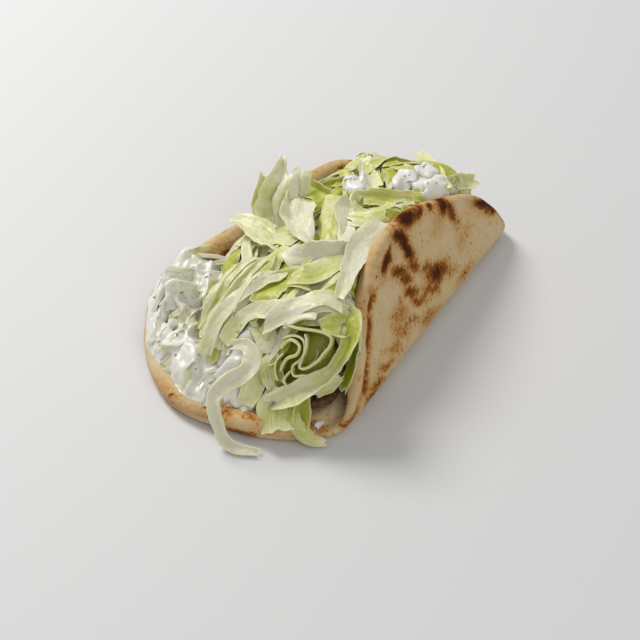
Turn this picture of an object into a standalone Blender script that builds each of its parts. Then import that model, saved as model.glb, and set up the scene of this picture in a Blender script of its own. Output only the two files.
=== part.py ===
"""A gyro wrap: one round flatbread folded over shaved meat, shredded lettuce and thick yoghurt sauce.

The bread is modelled as the baker makes it, a flat round with a puffed rim, and is then bent like the
real one: its outer face lies flat on the table, the left side curls up, and the right side is folded
over the filling as a standing flap. +Y runs along the fold, +X towards the flap and +Z up. The origin
is on the table, under the middle of the wrap. All numbers are millimetres until a mesh is made.
"""

import math

import bmesh
import bpy
import numpy as np

MM = 0.001

# The flat round, measured from the middle of the bread: p runs across the fold, q along it.
BREAD_MIDDLE = (29.1, -1.9)     # where that middle lies once the wrap is centred on the origin
RIM_ANGLES = (-180, -158, -135, -110, -95, -80, -65, -50, -35, -20, 0, 20, 40, 55, 75, 92, 107, 122, 140, 160)
RIM_RADII = (93, 104, 106, 108, 98, 92, 84, 78, 82, 89, 97, 100, 106, 114, 108, 109, 116, 113, 99, 87)
CRUMB_THICK = 6.2               # the bread inside its rim
RIM_THICK = 8.8                 # the puffed rim
FOLD_THICK = 5.0                # the bread where it is pressed by the fold
RIM_ROUND = 5.0                 # how far in the rim's rounding reaches
RIM_WIDTH = 22.0                # how far in the puff has died away
EDGE_HEIGHT = 3.8               # height of the rim's outermost line above the outer face
SECTORS = 64
RIM_STEPS = (0.0, 0.9, 2.6, 5.0, 9.0, 15.0, 22.0)
INNER_STEPS = (0.62, 0.42, 0.22)
BEND_CUTS = (-84.0, -72.0, -60.0, -48.0, -36.0, -24.0, -12.0) + tuple(27.0 + 3.5 * k for k in range(7))

# How the round is bent. The left side curls up more towards the far end.
FOLD_START = 28.0               # p at which the fold begins
FOLD_LENGTH = 20.0              # length of outer face taken by the bend
FOLD_TURN = (112.0, 118.0)      # turn of the flap at the near and the far end, in degrees
FLAP_RELAX = 4.0                # the flap's slow bend back, in degrees
CURL_TURN = (8.0, 58.0)        # turn of the left side at the near and the far end
CURL_START = (-50.0, -12.0)     # p at which the left side starts to rise
CURL_LENGTH = 55.0

# The meat: two shaved slices, one on the other, running along the fold.
MEAT_THICK = 5.0
MEAT_GAP = 1.0
MEAT_ENDS = (-76.0, 90.0)       # q of the two ends
MEAT_LOWER = (-20.0, 25.0)      # p of the two long edges
MEAT_UPPER = (-13.0, 22.0)
MEAT_STATIONS = 17

# The shredded lettuce, one heap out to its uneven outline.
HEAP_FLOOR = 6.0
HEAP_LOW, HEAP_HIGH = 15.0, 52.0    # height of its top at the left rim and beside the flap
HEAP_GAP = 1.4                  # its clearance over bread and meat
HEAP_INSET = 12.0               # how far inside the left rim it starts
RIGHT_INSET = 7.5               # and how far inside the flap's rim it ends
FAR_TIP = 112.0                 # q of the bread's far tip
HEAP_STATIONS = (-83.0, -79.5) + tuple(-75.0 + 5.5 * k for k in range(32)) + (98.0,)
HEAP_ACROSS = 19                # points under, and again over, each cross-section
SHRED_THICK = 2.2

# The yoghurt sauce.
SAUCE_GAP = 0.8
SAUCE_STATIONS = (-95.0, -92.5) + tuple(-88.5 + 6.2 * k for k in range(13)) + (-10.0,)
SAUCE_ACROSS = 12
SAUCE_THIN, SAUCE_HIGH = 1.6, 11.0  # its depth at the bread's rim and where it meets the lettuce
SAUCE_INSET = 3.6               # how far inside the rim it ends
SPOONFUL_MIDDLE = (-18.0, 67.0) # p and q of the spoonful on the salad's far end
SPOONFUL_HALF = (24.0, 13.0)    # its half length and half width
SPOONFUL_TURN = 30.0            # direction of its length, in degrees from +X
SPOONFUL_DEPTH = 5.6
SPOONFUL_RINGS = (1.0, 0.82, 0.55, 0.28)
SPOONFUL_SIDES = 22


def ease(t):
    """A smooth step from 0 to 1."""
    t = np.clip(t, 0.0, 1.0)
    return t * t * (3.0 - 2.0 * t)


def between(pair, t):
    return pair[0] + (pair[1] - pair[0]) * ease(t)


def smooth_rim():
    """The rim's radius at every half degree, rounded off between the driving radii."""
    grid = np.arange(-180.0, 180.0, 0.5)
    raw = np.interp(grid, RIM_ANGLES + (180,), RIM_RADII + (RIM_RADII[0],))
    weights = np.exp(-0.5 * (np.arange(-30, 31) / 9.0) ** 2)
    wrapped = np.concatenate([raw[-30:], raw, raw[:30]])
    return grid, np.convolve(wrapped, weights / weights.sum(), "valid")


RIM_GRID, RIM_SMOOTH = smooth_rim()


def edge_distance(p, q):
    """How far a point of the flat round is from its rim, measured along the radius."""
    return np.interp(np.degrees(np.arctan2(q, p)), RIM_GRID, RIM_SMOOTH, period=360.0) - np.hypot(p, q)


def lower_face(edge):
    """Height of the outer face of the flat round: flat, and rounded up at the rim."""
    t = np.clip(1.0 - edge / RIM_ROUND, 0.0, 1.0)
    return EDGE_HEIGHT * (1.0 - np.sqrt(1.0 - t * t))


def upper_face(edge, p, q):
    """Height of the inner face: the rim's rounding, its puff, the uneven crumb and the pressed fold."""
    t = np.clip(1.0 - edge / RIM_ROUND, 0.0, 1.0)
    full = CRUMB_THICK + (RIM_THICK - CRUMB_THICK) * ease((RIM_WIDTH - edge) / (RIM_WIDTH - RIM_ROUND))
    full = full + 0.5 * np.sin(p / 13.0 + 1.0) * np.cos(q / 16.0) * ease(edge / 10.0)
    middle = FOLD_START + 0.5 * FOLD_LENGTH
    pressed = ease((16.0 - np.abs(p - middle)) / 7.0)
    full = full + (np.minimum(full, FOLD_THICK) - full) * pressed
    return EDGE_HEIGHT + (full - EDGE_HEIGHT) * np.sqrt(1.0 - t * t)


def slope(p, q):
    """Direction of the outer face across the fold, in radians above the table."""
    along = (q + 20.0) / 110.0
    curl = between(CURL_TURN, along) * ease((between(CURL_START, along) - p) / CURL_LENGTH)
    fold = between(FOLD_TURN, (q + 60.0) / 100.0) * ease((p - FOLD_START) / FOLD_LENGTH)
    relax = FLAP_RELAX * np.clip((p - FOLD_START - FOLD_LENGTH) / 50.0, 0.0, 1.2)
    return np.radians(fold - curl - relax)


def bend(p, q, height):
    """Where points of the flat round go when the bread is folded."""
    p, q, height = np.broadcast_arrays(p, q, height)
    steps = (np.arange(60) + 0.5) / 60.0
    path = slope(p[:, None] * steps, q[:, None])
    turn = slope(p, q)
    x = BREAD_MIDDLE[0] + np.cos(path).mean(axis=1) * p - np.sin(turn) * height
    z = np.sin(path).mean(axis=1) * p + np.cos(turn) * height
    return np.stack([x, BREAD_MIDDLE[1] + q, z], axis=-1)


def span(q, margin):
    """The least and the greatest p of the bread at that q, that far inside its rim."""
    p = np.arange(-115.0, 115.0, 0.5)
    inside = p[edge_distance(p, np.full_like(p, q)) > margin]
    return inside[0], inside[-1]


def meat_sway(q):
    return 1.5 * np.sin(q / 15.0)


def meat_rise(p, q):
    """How far the two slices of meat lift what lies on them off the bread, from their left edge on."""
    across = np.clip((p - MEAT_LOWER[0] - meat_sway(q) + 4.5) / 3.0, 0.0, 1.0)
    along = np.clip((q + 80.0) / 3.0, 0.0, 1.0) * np.clip((95.0 - q) / 4.0, 0.0, 1.0)
    return (2.0 * MEAT_THICK + 2.0 * MEAT_GAP + 0.8) * across * along


def heap_top(x, y):
    """Height of the salad's uneven top over the table."""
    u, v = x - BREAD_MIDDLE[0], y - BREAD_MIDDLE[1]
    left = HEAP_LOW + 20.0 * ease((v - 6.0) / 70.0)
    body = left + (HEAP_HIGH - left) * ease((u + 100.0) / 108.0)
    body = body * (1.0 - 0.2 * ease((v - 25.0) / 45.0))
    near = 0.2 + 0.8 * ease((v + 92.0) / 46.0)
    far = ease((117.0 - v) / 34.0)
    lumps = 2.0 * np.sin(u / 7.0 + v / 19.0) * np.sin(v / 9.0 - u / 23.0) + 0.9 * np.sin(u / 4.6 - v / 5.3)
    return HEAP_FLOOR + (body - HEAP_FLOOR) * near * far + lumps


def sauce_edge(q):
    """p at which the sauce over the near left corner meets the lettuce."""
    return float(np.interp(q, (-104.0, -69.0, -52.0, -14.0, 4.0), (-16.0, -43.0, -54.0, -69.0, -108.0)))


def even_points(line, count):
    """The same line with its points evenly spaced along it."""
    run = np.concatenate([[0.0], np.cumsum(np.linalg.norm(np.diff(line, axis=0), axis=1))])
    wanted = np.linspace(0.0, run[-1], count)
    return np.stack([np.interp(wanted, run, line[:, k]) for k in range(3)], axis=-1)


def over_bread(first, last, q, lift):
    """Points along the bread's inner face from p = first to p = last, lifted off it."""
    p = np.linspace(first, last, 90)
    across = np.full_like(p, q)
    return p, bend(p, across, upper_face(edge_distance(p, across), p, across) + lift(p, across))


def close_section(bottom, top_height, count):
    """A closed section: the bottom line, then a top over it from its end back to its start."""
    bottom = even_points(bottom, count)
    x = np.linspace(bottom[-1, 0], bottom[0, 0], count + 2)[1:-1]
    top = np.stack([x, np.full_like(x, bottom[0, 1]), top_height(x)], axis=-1)
    return list(bottom) + list(top)


def salad_section(q):
    """The salad's section: over the bread and the meat, up the flap, and back over the top."""
    y = BREAD_MIDDLE[1] + q
    left = max(span(q, min(HEAP_INSET, 0.5 * (FAR_TIP - q)))[0], sauce_edge(q) + 1.0)
    right = min(span(q, RIGHT_INSET)[1], 10.0 + 1.3 * (q - HEAP_STATIONS[0]))
    p, line = over_bread(left, right, q, lambda p, q: HEAP_GAP + meat_rise(p, q) * (p < FOLD_START))
    lying = line[p < FOLD_START - 2.0]
    standing = line[(p > FOLD_START + 6.0) & (line[:, 2] > lying[-1, 2] + 0.6)]
    standing = standing[standing[:, 2] < heap_top(standing[:, 0], y) - 2.0] - (1.0, 0.0, 0.0)
    rim = max(span(q, 0.5)[1], FOLD_START + 8.0)
    flap = over_bread(FOLD_START + 8.0, rim, q, lambda p, q: HEAP_GAP + 0.0 * p)[1]
    beside = flap[np.abs(flap[:, 2] - lying[-1, 2]) < 7.0]
    if len(beside):
        lying = lying[lying[:, 0] < beside[:, 0].min() - 1.0]
    line = np.concatenate([lying, standing])
    end = line[-1]

    def top_height(x):
        floor = np.max([np.interp(x + aside, lying[:, 0], lying[:, 2]) for aside in (-5, -3, 0, 3, 5)], axis=0)
        lean = end[2] + 1.2 + 1.5 * np.maximum(end[0] - x, 0.0)
        high = np.minimum(heap_top(x, np.full_like(x, y)), lean)
        rise = np.clip((x - line[0, 0]) / 9.0, 0.0, 1.0)
        return floor + 3.0 + np.maximum(high - floor - 3.0, 0.0) * np.sqrt(rise)

    return close_section(line, top_height, HEAP_ACROSS)


def sauce_section(q):
    """The sauce's section over the near left corner of the bread."""
    first, last = span(q, SAUCE_INSET)[0], sauce_edge(q) - 0.5
    p, line = over_bread(first, last, q, lambda p, q: SAUCE_GAP + 0.0 * p)
    x0, x1 = line[0, 0], line[-1, 0]

    def top_height(x):
        t = np.clip((x - x0) / (x1 - x0), 0.0, 1.0)
        fade = ease((q + 104.0) / 22.0) * (1.0 - 0.65 * ease((q + 30.0) / 30.0))
        depth = SAUCE_THIN + (SAUCE_HIGH - SAUCE_THIN) * np.sqrt(1.0 - (1.0 - t) ** 2) * fade
        lumps = 0.9 * np.sin(x / 5.0 + q / 8.0) * np.sin(q / 6.5 - x / 11.0)
        return np.interp(x, line[:, 0], line[:, 2]) + depth + lumps * ease(t * 4.0)

    return close_section(line, top_height, SAUCE_ACROSS)


def meat_section(q, layer, edges):
    """A slice's section: a slab with rounded, slightly rippled faces."""
    ends = min(q - MEAT_ENDS[0], MEAT_ENDS[1] - q)
    width = 0.5 * (edges[1] - edges[0]) * (0.6 + 0.4 * float(ease((ends + 4.0) / 14.0)))
    middle = 0.5 * (edges[0] + edges[1]) + meat_sway(q)
    side = np.array([-1.0, -0.96, -0.6, -0.2, 0.2, 0.6, 0.96, 1.0])
    p = middle + width * side
    across = np.full_like(p, q)
    floor = upper_face(edge_distance(p, across), p, across) + layer * MEAT_THICK + (layer + 1) * MEAT_GAP
    ripple = 0.5 * np.sin(p / 5.0) * np.sin(q / 8.0)
    lower = ripple * layer
    round_off = 1.3 * (np.abs(side) > 0.99)
    bottom = bend(p, across, floor + lower + round_off)
    top = bend(p, across, floor + ripple + MEAT_THICK - round_off)
    return list(bottom) + list(top[::-1])


def loft(sections):
    """A closed solid through equal closed sections, capped at both ends."""
    bm = bmesh.new()
    rings = [[bm.verts.new(point) for point in section] for section in sections]
    for near, far in zip(rings, rings[1:]):
        for k in range(len(near)):
            after = (k + 1) % len(near)
            bm.faces.new((near[k], near[after], far[after], far[k]))
    for ring in (rings[0], rings[-1]):
        half = len(ring) // 2
        for k in range(half - 1):
            bm.faces.new((ring[k], ring[k + 1], ring[-2 - k], ring[-1 - k]))
    return bm


def shred(path, widths, facings):
    """One thick shred of lettuce: a strip along a path, its flat side turning from one facing to another."""
    path = np.array(path, float)
    ahead = np.gradient(path, axis=0)
    along = np.linspace(0.0, 1.0, len(path))
    spread = np.interp(along, np.linspace(0.0, 1.0, len(widths)), widths)
    facing = np.outer(1.0 - along, facings[0]) + np.outer(along, facings[1])
    sections = []
    for place, run, width, flat in zip(path, ahead, spread, facing):
        side = np.cross(run, flat)
        side /= np.linalg.norm(side)
        out = np.cross(side, run)
        out /= np.linalg.norm(out)
        w, t = 0.5 * width * side, 0.5 * SHRED_THICK * out
        sections.append([place - w - t, place + w - t, place + w + t, place - w + t])
    return loft(sections)


def make_bread():
    """The flat round with its puffed rim, cut into strips where it bends, then bent."""
    bm = bmesh.new()
    angles = np.radians(np.arange(SECTORS) * 360.0 / SECTORS)
    radii = edge_distance(np.cos(angles), np.sin(angles)) + 1.0
    rows = [radii - step for step in RIM_STEPS] + [radii * step for step in INNER_STEPS]
    lower_rings = []
    for upper in (False, True):
        rings = []
        for number, row in enumerate(rows):
            if upper and number == 0:
                rings.append(lower_rings[0])
                continue
            p, q = row * np.cos(angles), row * np.sin(angles)
            height = upper_face(radii - row, p, q) if upper else lower_face(radii - row)
            rings.append([bm.verts.new(point) for point in zip(p, q, height)])
        for outer, inner in zip(rings, rings[1:]):
            for k in range(SECTORS):
                after = (k + 1) % SECTORS
                bm.faces.new((outer[k], outer[after], inner[after], inner[k]))
        middle = bm.verts.new((0.0, 0.0, CRUMB_THICK if upper else 0.0))
        for k in range(SECTORS):
            bm.faces.new((rings[-1][k], rings[-1][(k + 1) % SECTORS], middle))
        lower_rings = lower_rings or rings
    for cut in BEND_CUTS:
        geometry = bm.verts[:] + bm.edges[:] + bm.faces[:]
        bmesh.ops.bisect_plane(bm, geom=geometry, plane_co=(cut, 0, 0), plane_no=(1, 0, 0), dist=0.05)
    bmesh.ops.triangulate(bm, faces=bm.faces)
    flat = np.array([vert.co for vert in bm.verts])
    for vert, place in zip(bm.verts, bend(flat[:, 0], flat[:, 1], flat[:, 2])):
        vert.co = place
    return bm


def make_meat(layer, edges):
    inset = 2.0 + 5.0 * layer
    stations = np.linspace(MEAT_ENDS[0] + inset, MEAT_ENDS[1] - inset, MEAT_STATIONS)
    return loft([meat_section(q, layer, edges) for q in stations])


def make_far_sauce():
    """A spoonful of sauce on top of the salad's far end: rings of points over and under its round outline."""
    turn = np.arange(SPOONFUL_SIDES) * 2.0 * math.pi / SPOONFUL_SIDES
    uneven = 1.0 + 0.13 * np.sin(3.0 * turn + 0.6) + 0.08 * np.sin(5.0 * turn)
    heading = math.radians(SPOONFUL_TURN)
    long_way = SPOONFUL_HALF[0] * np.array([math.cos(heading), math.sin(heading)])
    short_way = SPOONFUL_HALF[1] * np.array([-math.sin(heading), math.cos(heading)])
    middle = np.array(BREAD_MIDDLE) + SPOONFUL_MIDDLE
    bm = bmesh.new()
    halves = []
    for upper in (False, True):
        rings = []
        for row in SPOONFUL_RINGS:
            if upper and row == 1.0:
                rings.append(halves[0][0])
                continue
            spot = middle + np.outer(row * uneven * np.cos(turn), long_way)
            spot = spot + np.outer(row * uneven * np.sin(turn), short_way)
            z = heap_top(spot[:, 0], spot[:, 1]) + HEAP_GAP + 1.2 * (row > 0.9)
            if upper:
                z = z + 2.0 + (SPOONFUL_DEPTH - 2.0) * math.sqrt(1.0 - row * row) + 0.5 * np.sin(4.0 * turn) * row
            rings.append([bm.verts.new(point) for point in np.column_stack([spot, z])])
        for outer, inner in zip(rings, rings[1:]):
            for k in range(SPOONFUL_SIDES):
                after = (k + 1) % SPOONFUL_SIDES
                bm.faces.new((outer[k], outer[after], inner[after], inner[k]))
        top = heap_top(middle[0], middle[1]) + HEAP_GAP + upper * SPOONFUL_DEPTH
        hub = bm.verts.new((middle[0], middle[1], top))
        for k in range(SPOONFUL_SIDES):
            bm.faces.new((rings[-1][k], rings[-1][(k + 1) % SPOONFUL_SIDES], hub))
        halves.append(rings)
    return bm


def shreds():
    """The shreds that stand or hang clear of the heap, as offsets from the middle of the bread."""
    hanging = [(-8, -72, 24), (-3, -80, 27), (-2, -88, 24.5), (-4, -94, 21), (-10, -99, 16), (-12, -103, 11),
               (-10, -106, 6), (-5, -106, 3.0), (4, -104, 2.4)]
    near_flap = [(8, -66, 26), (14, -77, 22), (19, -85, 15), (25, -89, 8), (30, -87, 4.0)]
    leaf = [(-46, 12, 24), (-51, 21, 33), (-58, 33, 43), (-65, 43, 52)]
    far_left = [(-18, 80, 32), (-15, 92, 34), (-12, 103, 34), (-8, 113, 31)]
    far_right = [(6, 80, 32), (12, 93, 33), (18, 104, 28), (20, 112, 21)]
    over_left = [(-50, 2, 27), (-60, 5, 32), (-70, 9, 33), (-80, 12, 31)]
    up = (0.0, 0.0, 1.0)
    return [
        (hanging, (9.0, 11.0, 9.0, 9.0), ((0.3, -1.0, 0.9), (0.0, -0.25, 1.0))),
        (near_flap, (13.0, 12.0, 8.0), ((0.2, -1.0, 0.8), (0.3, -0.7, 0.8))),
        (leaf, (24.0, 18.0, 5.0), ((0.4, -0.65, 0.65), (0.4, -0.65, 0.65))),
        (far_left, (10.0, 9.0, 6.0), ((0.1, 0.35, 1.0), up)),
        (far_right, (10.0, 8.0, 6.0), ((0.2, 0.4, 1.0), (0.3, 0.6, 0.8))),
        (over_left, (13.0, 11.0, 7.0), (up, up)),
    ]


def add_object(name, bm, material):
    """Turns a bmesh in millimetres into a named object in metres."""
    bmesh.ops.recalc_face_normals(bm, faces=bm.faces)
    bmesh.ops.scale(bm, vec=(MM, MM, MM), verts=bm.verts)
    mesh = bpy.data.meshes.new(name)
    bm.to_mesh(mesh)
    bm.free()
    mesh.shade_smooth()
    obj = bpy.data.objects.new(name, mesh)
    bpy.context.scene.collection.objects.link(obj)
    if material:
        mesh.materials.append(material)
    return obj


def join_solid(body, bm):
    """Grows the body by another solid and leaves one clean mesh."""
    other = add_object("joining", bm, None)
    union = body.modifiers.new("union", "BOOLEAN")
    union.operation = "UNION"
    union.solver = "EXACT"
    union.object = other
    graph = bpy.context.evaluated_depsgraph_get()
    mesh = bpy.data.meshes.new_from_object(body.evaluated_get(graph))
    body.modifiers.clear()
    old = body.data
    mesh.name = body.name
    body.data = mesh
    bpy.data.meshes.remove(old)
    bpy.data.objects.remove(other)


def make_material(name, colour, roughness):
    material = bpy.data.materials.new(name)
    material.use_nodes = True
    shader = material.node_tree.nodes["Principled BSDF"]
    shader.inputs["Base Color"].default_value = (*colour, 1.0)
    shader.inputs["Roughness"].default_value = roughness
    shader.inputs["Metallic"].default_value = 0.0
    return material


def main():
    for obj in list(bpy.data.objects):
        bpy.data.objects.remove(obj)
    crust = make_material("baked_bread", (0.72, 0.53, 0.33), 0.7)
    meat = make_material("shaved_meat", (0.16, 0.07, 0.035), 0.6)
    leaves = make_material("lettuce_shreds", (0.60, 0.70, 0.32), 0.45)
    sauce = make_material("yoghurt_sauce", (0.86, 0.87, 0.80), 0.35)
    add_object("flatbread", make_bread(), crust)
    add_object("meat_slice_lower", make_meat(0, MEAT_LOWER), meat)
    add_object("meat_slice_upper", make_meat(1, MEAT_UPPER), meat)
    salad = add_object("lettuce", loft([salad_section(q) for q in HEAP_STATIONS]), leaves)
    for path, widths, facings in shreds():
        placed = [(BREAD_MIDDLE[0] + u, BREAD_MIDDLE[1] + v, z) for u, v, z in path]
        join_solid(salad, shred(placed, widths, facings))
    add_object("tzatziki_near", loft([sauce_section(q) for q in SAUCE_STATIONS]), sauce)
    add_object("tzatziki_far", make_far_sauce(), sauce)


main()
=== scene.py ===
"""A gyro wrap: a round flatbread folded over shaved meat, shredded iceberg lettuce and thick yoghurt sauce.

The bread lies on its outer face, its left side curls up and its right side stands as a flap that leans over
the filling. +Y runs along the fold, +X towards the flap and +Z up. Sizes are millimetres until a mesh is made.
"""

import math

import bpy
import numpy as np
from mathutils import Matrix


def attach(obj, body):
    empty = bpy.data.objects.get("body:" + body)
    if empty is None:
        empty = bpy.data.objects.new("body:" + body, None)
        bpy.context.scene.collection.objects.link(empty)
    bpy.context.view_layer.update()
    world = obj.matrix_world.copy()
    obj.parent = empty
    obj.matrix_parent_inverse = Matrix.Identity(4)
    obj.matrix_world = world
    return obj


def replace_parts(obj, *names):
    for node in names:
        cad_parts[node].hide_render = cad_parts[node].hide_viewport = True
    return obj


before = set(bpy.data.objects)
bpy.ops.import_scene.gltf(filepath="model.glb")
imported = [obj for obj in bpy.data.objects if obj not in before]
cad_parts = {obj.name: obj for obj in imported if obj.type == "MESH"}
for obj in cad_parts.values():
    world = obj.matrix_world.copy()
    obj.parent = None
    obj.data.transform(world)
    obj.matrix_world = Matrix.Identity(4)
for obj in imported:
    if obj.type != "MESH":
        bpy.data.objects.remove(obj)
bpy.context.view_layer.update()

# ---------------------------------------------------------------------------------------------------------------
# The flatbread: a soft wheat round with a puffed rim, browned in blisters on a hot griddle. It is made flat,
# with p across the fold and q along it, and then bent round the filling; its outer face lies on the table.
# ---------------------------------------------------------------------------------------------------------------
MM = 0.001
BREAD_MIDDLE = np.array([29.1, -1.9])
RIM_ANGLES = (-180, -158, -135, -110, -95, -80, -65, -50, -35, -20, 0, 20, 40, 55, 75, 92, 107, 122, 140, 160)
RIM_RADII = (93, 104, 106, 108, 98, 92, 84, 78, 82, 89, 97, 100, 106, 114, 108, 109, 116, 113, 99, 87)
CRUMB_THICK, RIM_THICK, FOLD_THICK = 6.2, 8.8, 5.0
RIM_ROUND, RIM_WIDTH, EDGE_HEIGHT = 5.0, 22.0, 3.8
FOLD_START, FOLD_LENGTH, FOLD_TURN, FLAP_RELAX = 28.0, 20.0, (112.0, 118.0), 4.0
CURL_TURN, CURL_START, CURL_LENGTH = (8.0, 58.0), (-50.0, -12.0), 55.0
BREAD_SECTORS = 380
BREAD_RIM_STEPS = (0, 0.35, 0.9, 1.7, 2.6, 3.7, 5, 6.4, 8, 9.6, 11.2, 13, 15, 17, 19.5, 22)
BREAD_INNER_ROWS = 30


def ease(t):
    """A smooth step from 0 to 1."""
    t = np.clip(t, 0.0, 1.0)
    return t * t * (3.0 - 2.0 * t)


def between(pair, t):
    return pair[0] + (pair[1] - pair[0]) * ease(t)


def smooth_rim():
    """The rim's radius at every half degree, rounded off between the driving radii."""
    grid = np.arange(-180.0, 180.0, 0.5)
    raw = np.interp(grid, RIM_ANGLES + (180,), RIM_RADII + (RIM_RADII[0],))
    weights = np.exp(-0.5 * (np.arange(-30, 31) / 9.0) ** 2)
    return grid, np.convolve(np.concatenate([raw[-30:], raw, raw[:30]]), weights / weights.sum(), "valid")


RIM_GRID, RIM_SMOOTH = smooth_rim()


def rim_radius(angle):
    return np.interp(np.degrees(angle), RIM_GRID, RIM_SMOOTH, period=360.0)


def edge_distance(p, q):
    """How far a point of the flat round is from its rim, measured along the radius."""
    return rim_radius(np.arctan2(q, p)) - np.hypot(p, q)


def lower_face(edge):
    t = np.clip(1.0 - edge / RIM_ROUND, 0.0, 1.0)
    return EDGE_HEIGHT * (1.0 - np.sqrt(1.0 - t * t))


def upper_face(edge, p, q):
    """Height of the inner face: the rim's rounding, its puff, the uneven crumb and the pressed fold."""
    t = np.clip(1.0 - edge / RIM_ROUND, 0.0, 1.0)
    full = CRUMB_THICK + (RIM_THICK - CRUMB_THICK) * ease((RIM_WIDTH - edge) / (RIM_WIDTH - RIM_ROUND))
    full = full + 0.5 * np.sin(p / 13.0 + 1.0) * np.cos(q / 16.0) * ease(edge / 10.0)
    pressed = ease((16.0 - np.abs(p - FOLD_START - 0.5 * FOLD_LENGTH)) / 7.0)
    full = full + (np.minimum(full, FOLD_THICK) - full) * pressed
    return EDGE_HEIGHT + (full - EDGE_HEIGHT) * np.sqrt(1.0 - t * t)


def slope(p, q):
    """Direction of the outer face across the fold, in radians above the table."""
    curl = between(CURL_TURN, (q + 20.0) / 110.0)
    curl = curl * ease((between(CURL_START, (q + 20.0) / 110.0) - p) / CURL_LENGTH)
    fold = between(FOLD_TURN, (q + 60.0) / 100.0) * ease((p - FOLD_START) / FOLD_LENGTH)
    relax = FLAP_RELAX * np.clip((p - FOLD_START - FOLD_LENGTH) / 50.0, 0.0, 1.2)
    return np.radians(fold - curl - relax)


def bend(p, q, height):
    """Where points of the flat round go when the bread is folded."""
    p, q, height = np.broadcast_arrays(p, q, height)
    steps = (np.arange(60) + 0.5) / 60.0
    path = slope(p[..., None] * steps, q[..., None])
    turn = slope(p, q)
    x = BREAD_MIDDLE[0] + np.cos(path).mean(axis=-1) * p - np.sin(turn) * height
    z = np.sin(path).mean(axis=-1) * p + np.cos(turn) * height
    return np.stack([x, BREAD_MIDDLE[1] + q, z], axis=-1)


LATTICE = np.random.default_rng(11).uniform(-1.0, 1.0, (32, 32, 32))


def rough(points, size, seed=0.0):
    """Smooth random heights from -1 to 1 whose lumps are about that size."""
    place = np.asarray(points, float) / size + 7.3 * seed
    cell = np.floor(place).astype(int)
    part = place - cell
    part = part * part * (3.0 - 2.0 * part)
    total = 0.0
    for corner in np.ndindex(2, 2, 2):
        weight = np.prod([part[..., k] if corner[k] else 1.0 - part[..., k] for k in range(3)], axis=0)
        total = total + weight * LATTICE[tuple((cell[..., k] + corner[k]) % 32 for k in range(3))]
    return total


def flat_at(p, q, third=0.0):
    p, q, third = np.broadcast_arrays(p, q, third)
    return np.stack([p, q, third], axis=-1)


# Browned blisters of the outer face: p, q, half length, half width, direction in degrees, depth of the browning.
OUTER_BLISTERS = (
    (93, 27, 8, 3.6, 105, 1.0), (90, 36, 7, 2.6, 75, 0.75), (90, 15, 6, 3.4, 130, 1.1), (82, 15, 8, 3.4, 160, 1.0),
    (88, -3, 8, 2.8, 80, 0.95), (87, 45, 3, 2.0, 60, 0.8), (84, 57, 7, 4.0, 60, 0.95), (76, 60, 8, 3.0, 160, 0.75),
    (64, 88, 8, 3.2, 110, 0.95), (58, 92, 6, 3.0, 120, 0.8), (78, 3, 7, 2.6, 120, 0.8), (70, 7, 6, 2.6, 110, 0.75),
    (72, 16, 6, 2.6, 120, 0.6), (63, 7, 7, 2.4, 115, 0.75), (56, 10, 8, 2.2, 110, 0.6), (58, 31, 9, 4.4, 115, 0.85),
    (55, 22, 8, 2.6, 115, 0.55), (67, 25, 5, 2.4, 100, 0.5), (61, -8, 9, 4.5, 110, 0.34), (54, -12, 9, 4.5, 120, 0.32),
    (50, -22, 8, 4.0, 120, 0.34), (44, -42, 9, 2.6, 105, 0.5), (41, -48, 8, 3.0, 100, 0.55), (52, 40, 7, 4, 100, 0.3),
    (78, 46, 9, 7, 80, 0.2), (60, 62, 10, 6, 80, 0.22), (45, 12, 12, 4, 100, 0.36), (44, 52, 11, 4, 95, 0.3),
    (79, -26, 6, 2.4, 52, 0.75), (66, -4, 3, 1.6, 110, 0.5), (52, -2, 5, 1.6, 115, 0.5), (47, -32, 7, 1.8, 105, 0.45),
)
# The brown line where the flap's rim was folded by the pan, as p and q along it.
FLAP_LINE = ((83, -22), (76, -30), (68, -36), (60, -42), (50, -51), (43, -61), (39, -71))
# Browned places of the inner face.
INNER_BLISTERS = (
    (-79, 1, 13, 1.7, 65, 1.0), (-82, -13, 8, 2.2, 60, 0.5), (-60, 82, 7, 3.4, 120, 0.85), (-54, 90, 6, 2.6, 110, 0.9),
    (-66, 74, 5, 2.4, 110, 0.6), (-74, -57, 3, 2, 20, 0.7), (-70, -52, 3.4, 2.2, 60, 0.8), (-15, -93, 6, 3, 0, 0.5),
    (-86, -6, 24, 6, 78, 0.24), (-88, 20, 8, 2.4, 80, 0.4), (22, -80, 9, 2.4, 20, 0.5), (-2, -90, 8, 2.4, 10, 0.4),
)


def browning(p, q, blisters):
    """How deeply the bread is browned at points of the flat round, from a list of blisters."""
    here = flat_at(p, q, 3.0)
    p = p + 2.2 * rough(here, 7.0, 1) + 0.9 * rough(here, 3.0, 2)
    q = q + 2.2 * rough(here, 7.0, 3) + 0.9 * rough(here, 3.0, 4)
    brown = np.zeros(np.shape(p))
    for at_p, at_q, length, width, heading, depth in blisters:
        c, s = math.cos(math.radians(heading)), math.sin(math.radians(heading))
        u, v = p - at_p, q - at_q
        reach = np.hypot((u * c + v * s) / length, (v * c - u * s) / width)
        brown = np.maximum(brown, depth * np.maximum(np.exp(-0.85 * reach ** 2.4), 0.36 * np.exp(-0.3 * reach ** 2)))
    return brown


def line_distance(p, q, line):
    """Distance from points of the flat round to a line of straight pieces."""
    best = np.full(np.shape(p), 1e9)
    for (p0, q0), (p1, q1) in zip(line, line[1:]):
        along = ((p - p0) * (p1 - p0) + (q - q0) * (q1 - q0)) / ((p1 - p0) ** 2 + (q1 - q0) ** 2)
        along = np.clip(along, 0.0, 1.0)
        best = np.minimum(best, np.hypot(p - p0 - along * (p1 - p0), q - q0 - along * (q1 - q0)))
    return best


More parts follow.
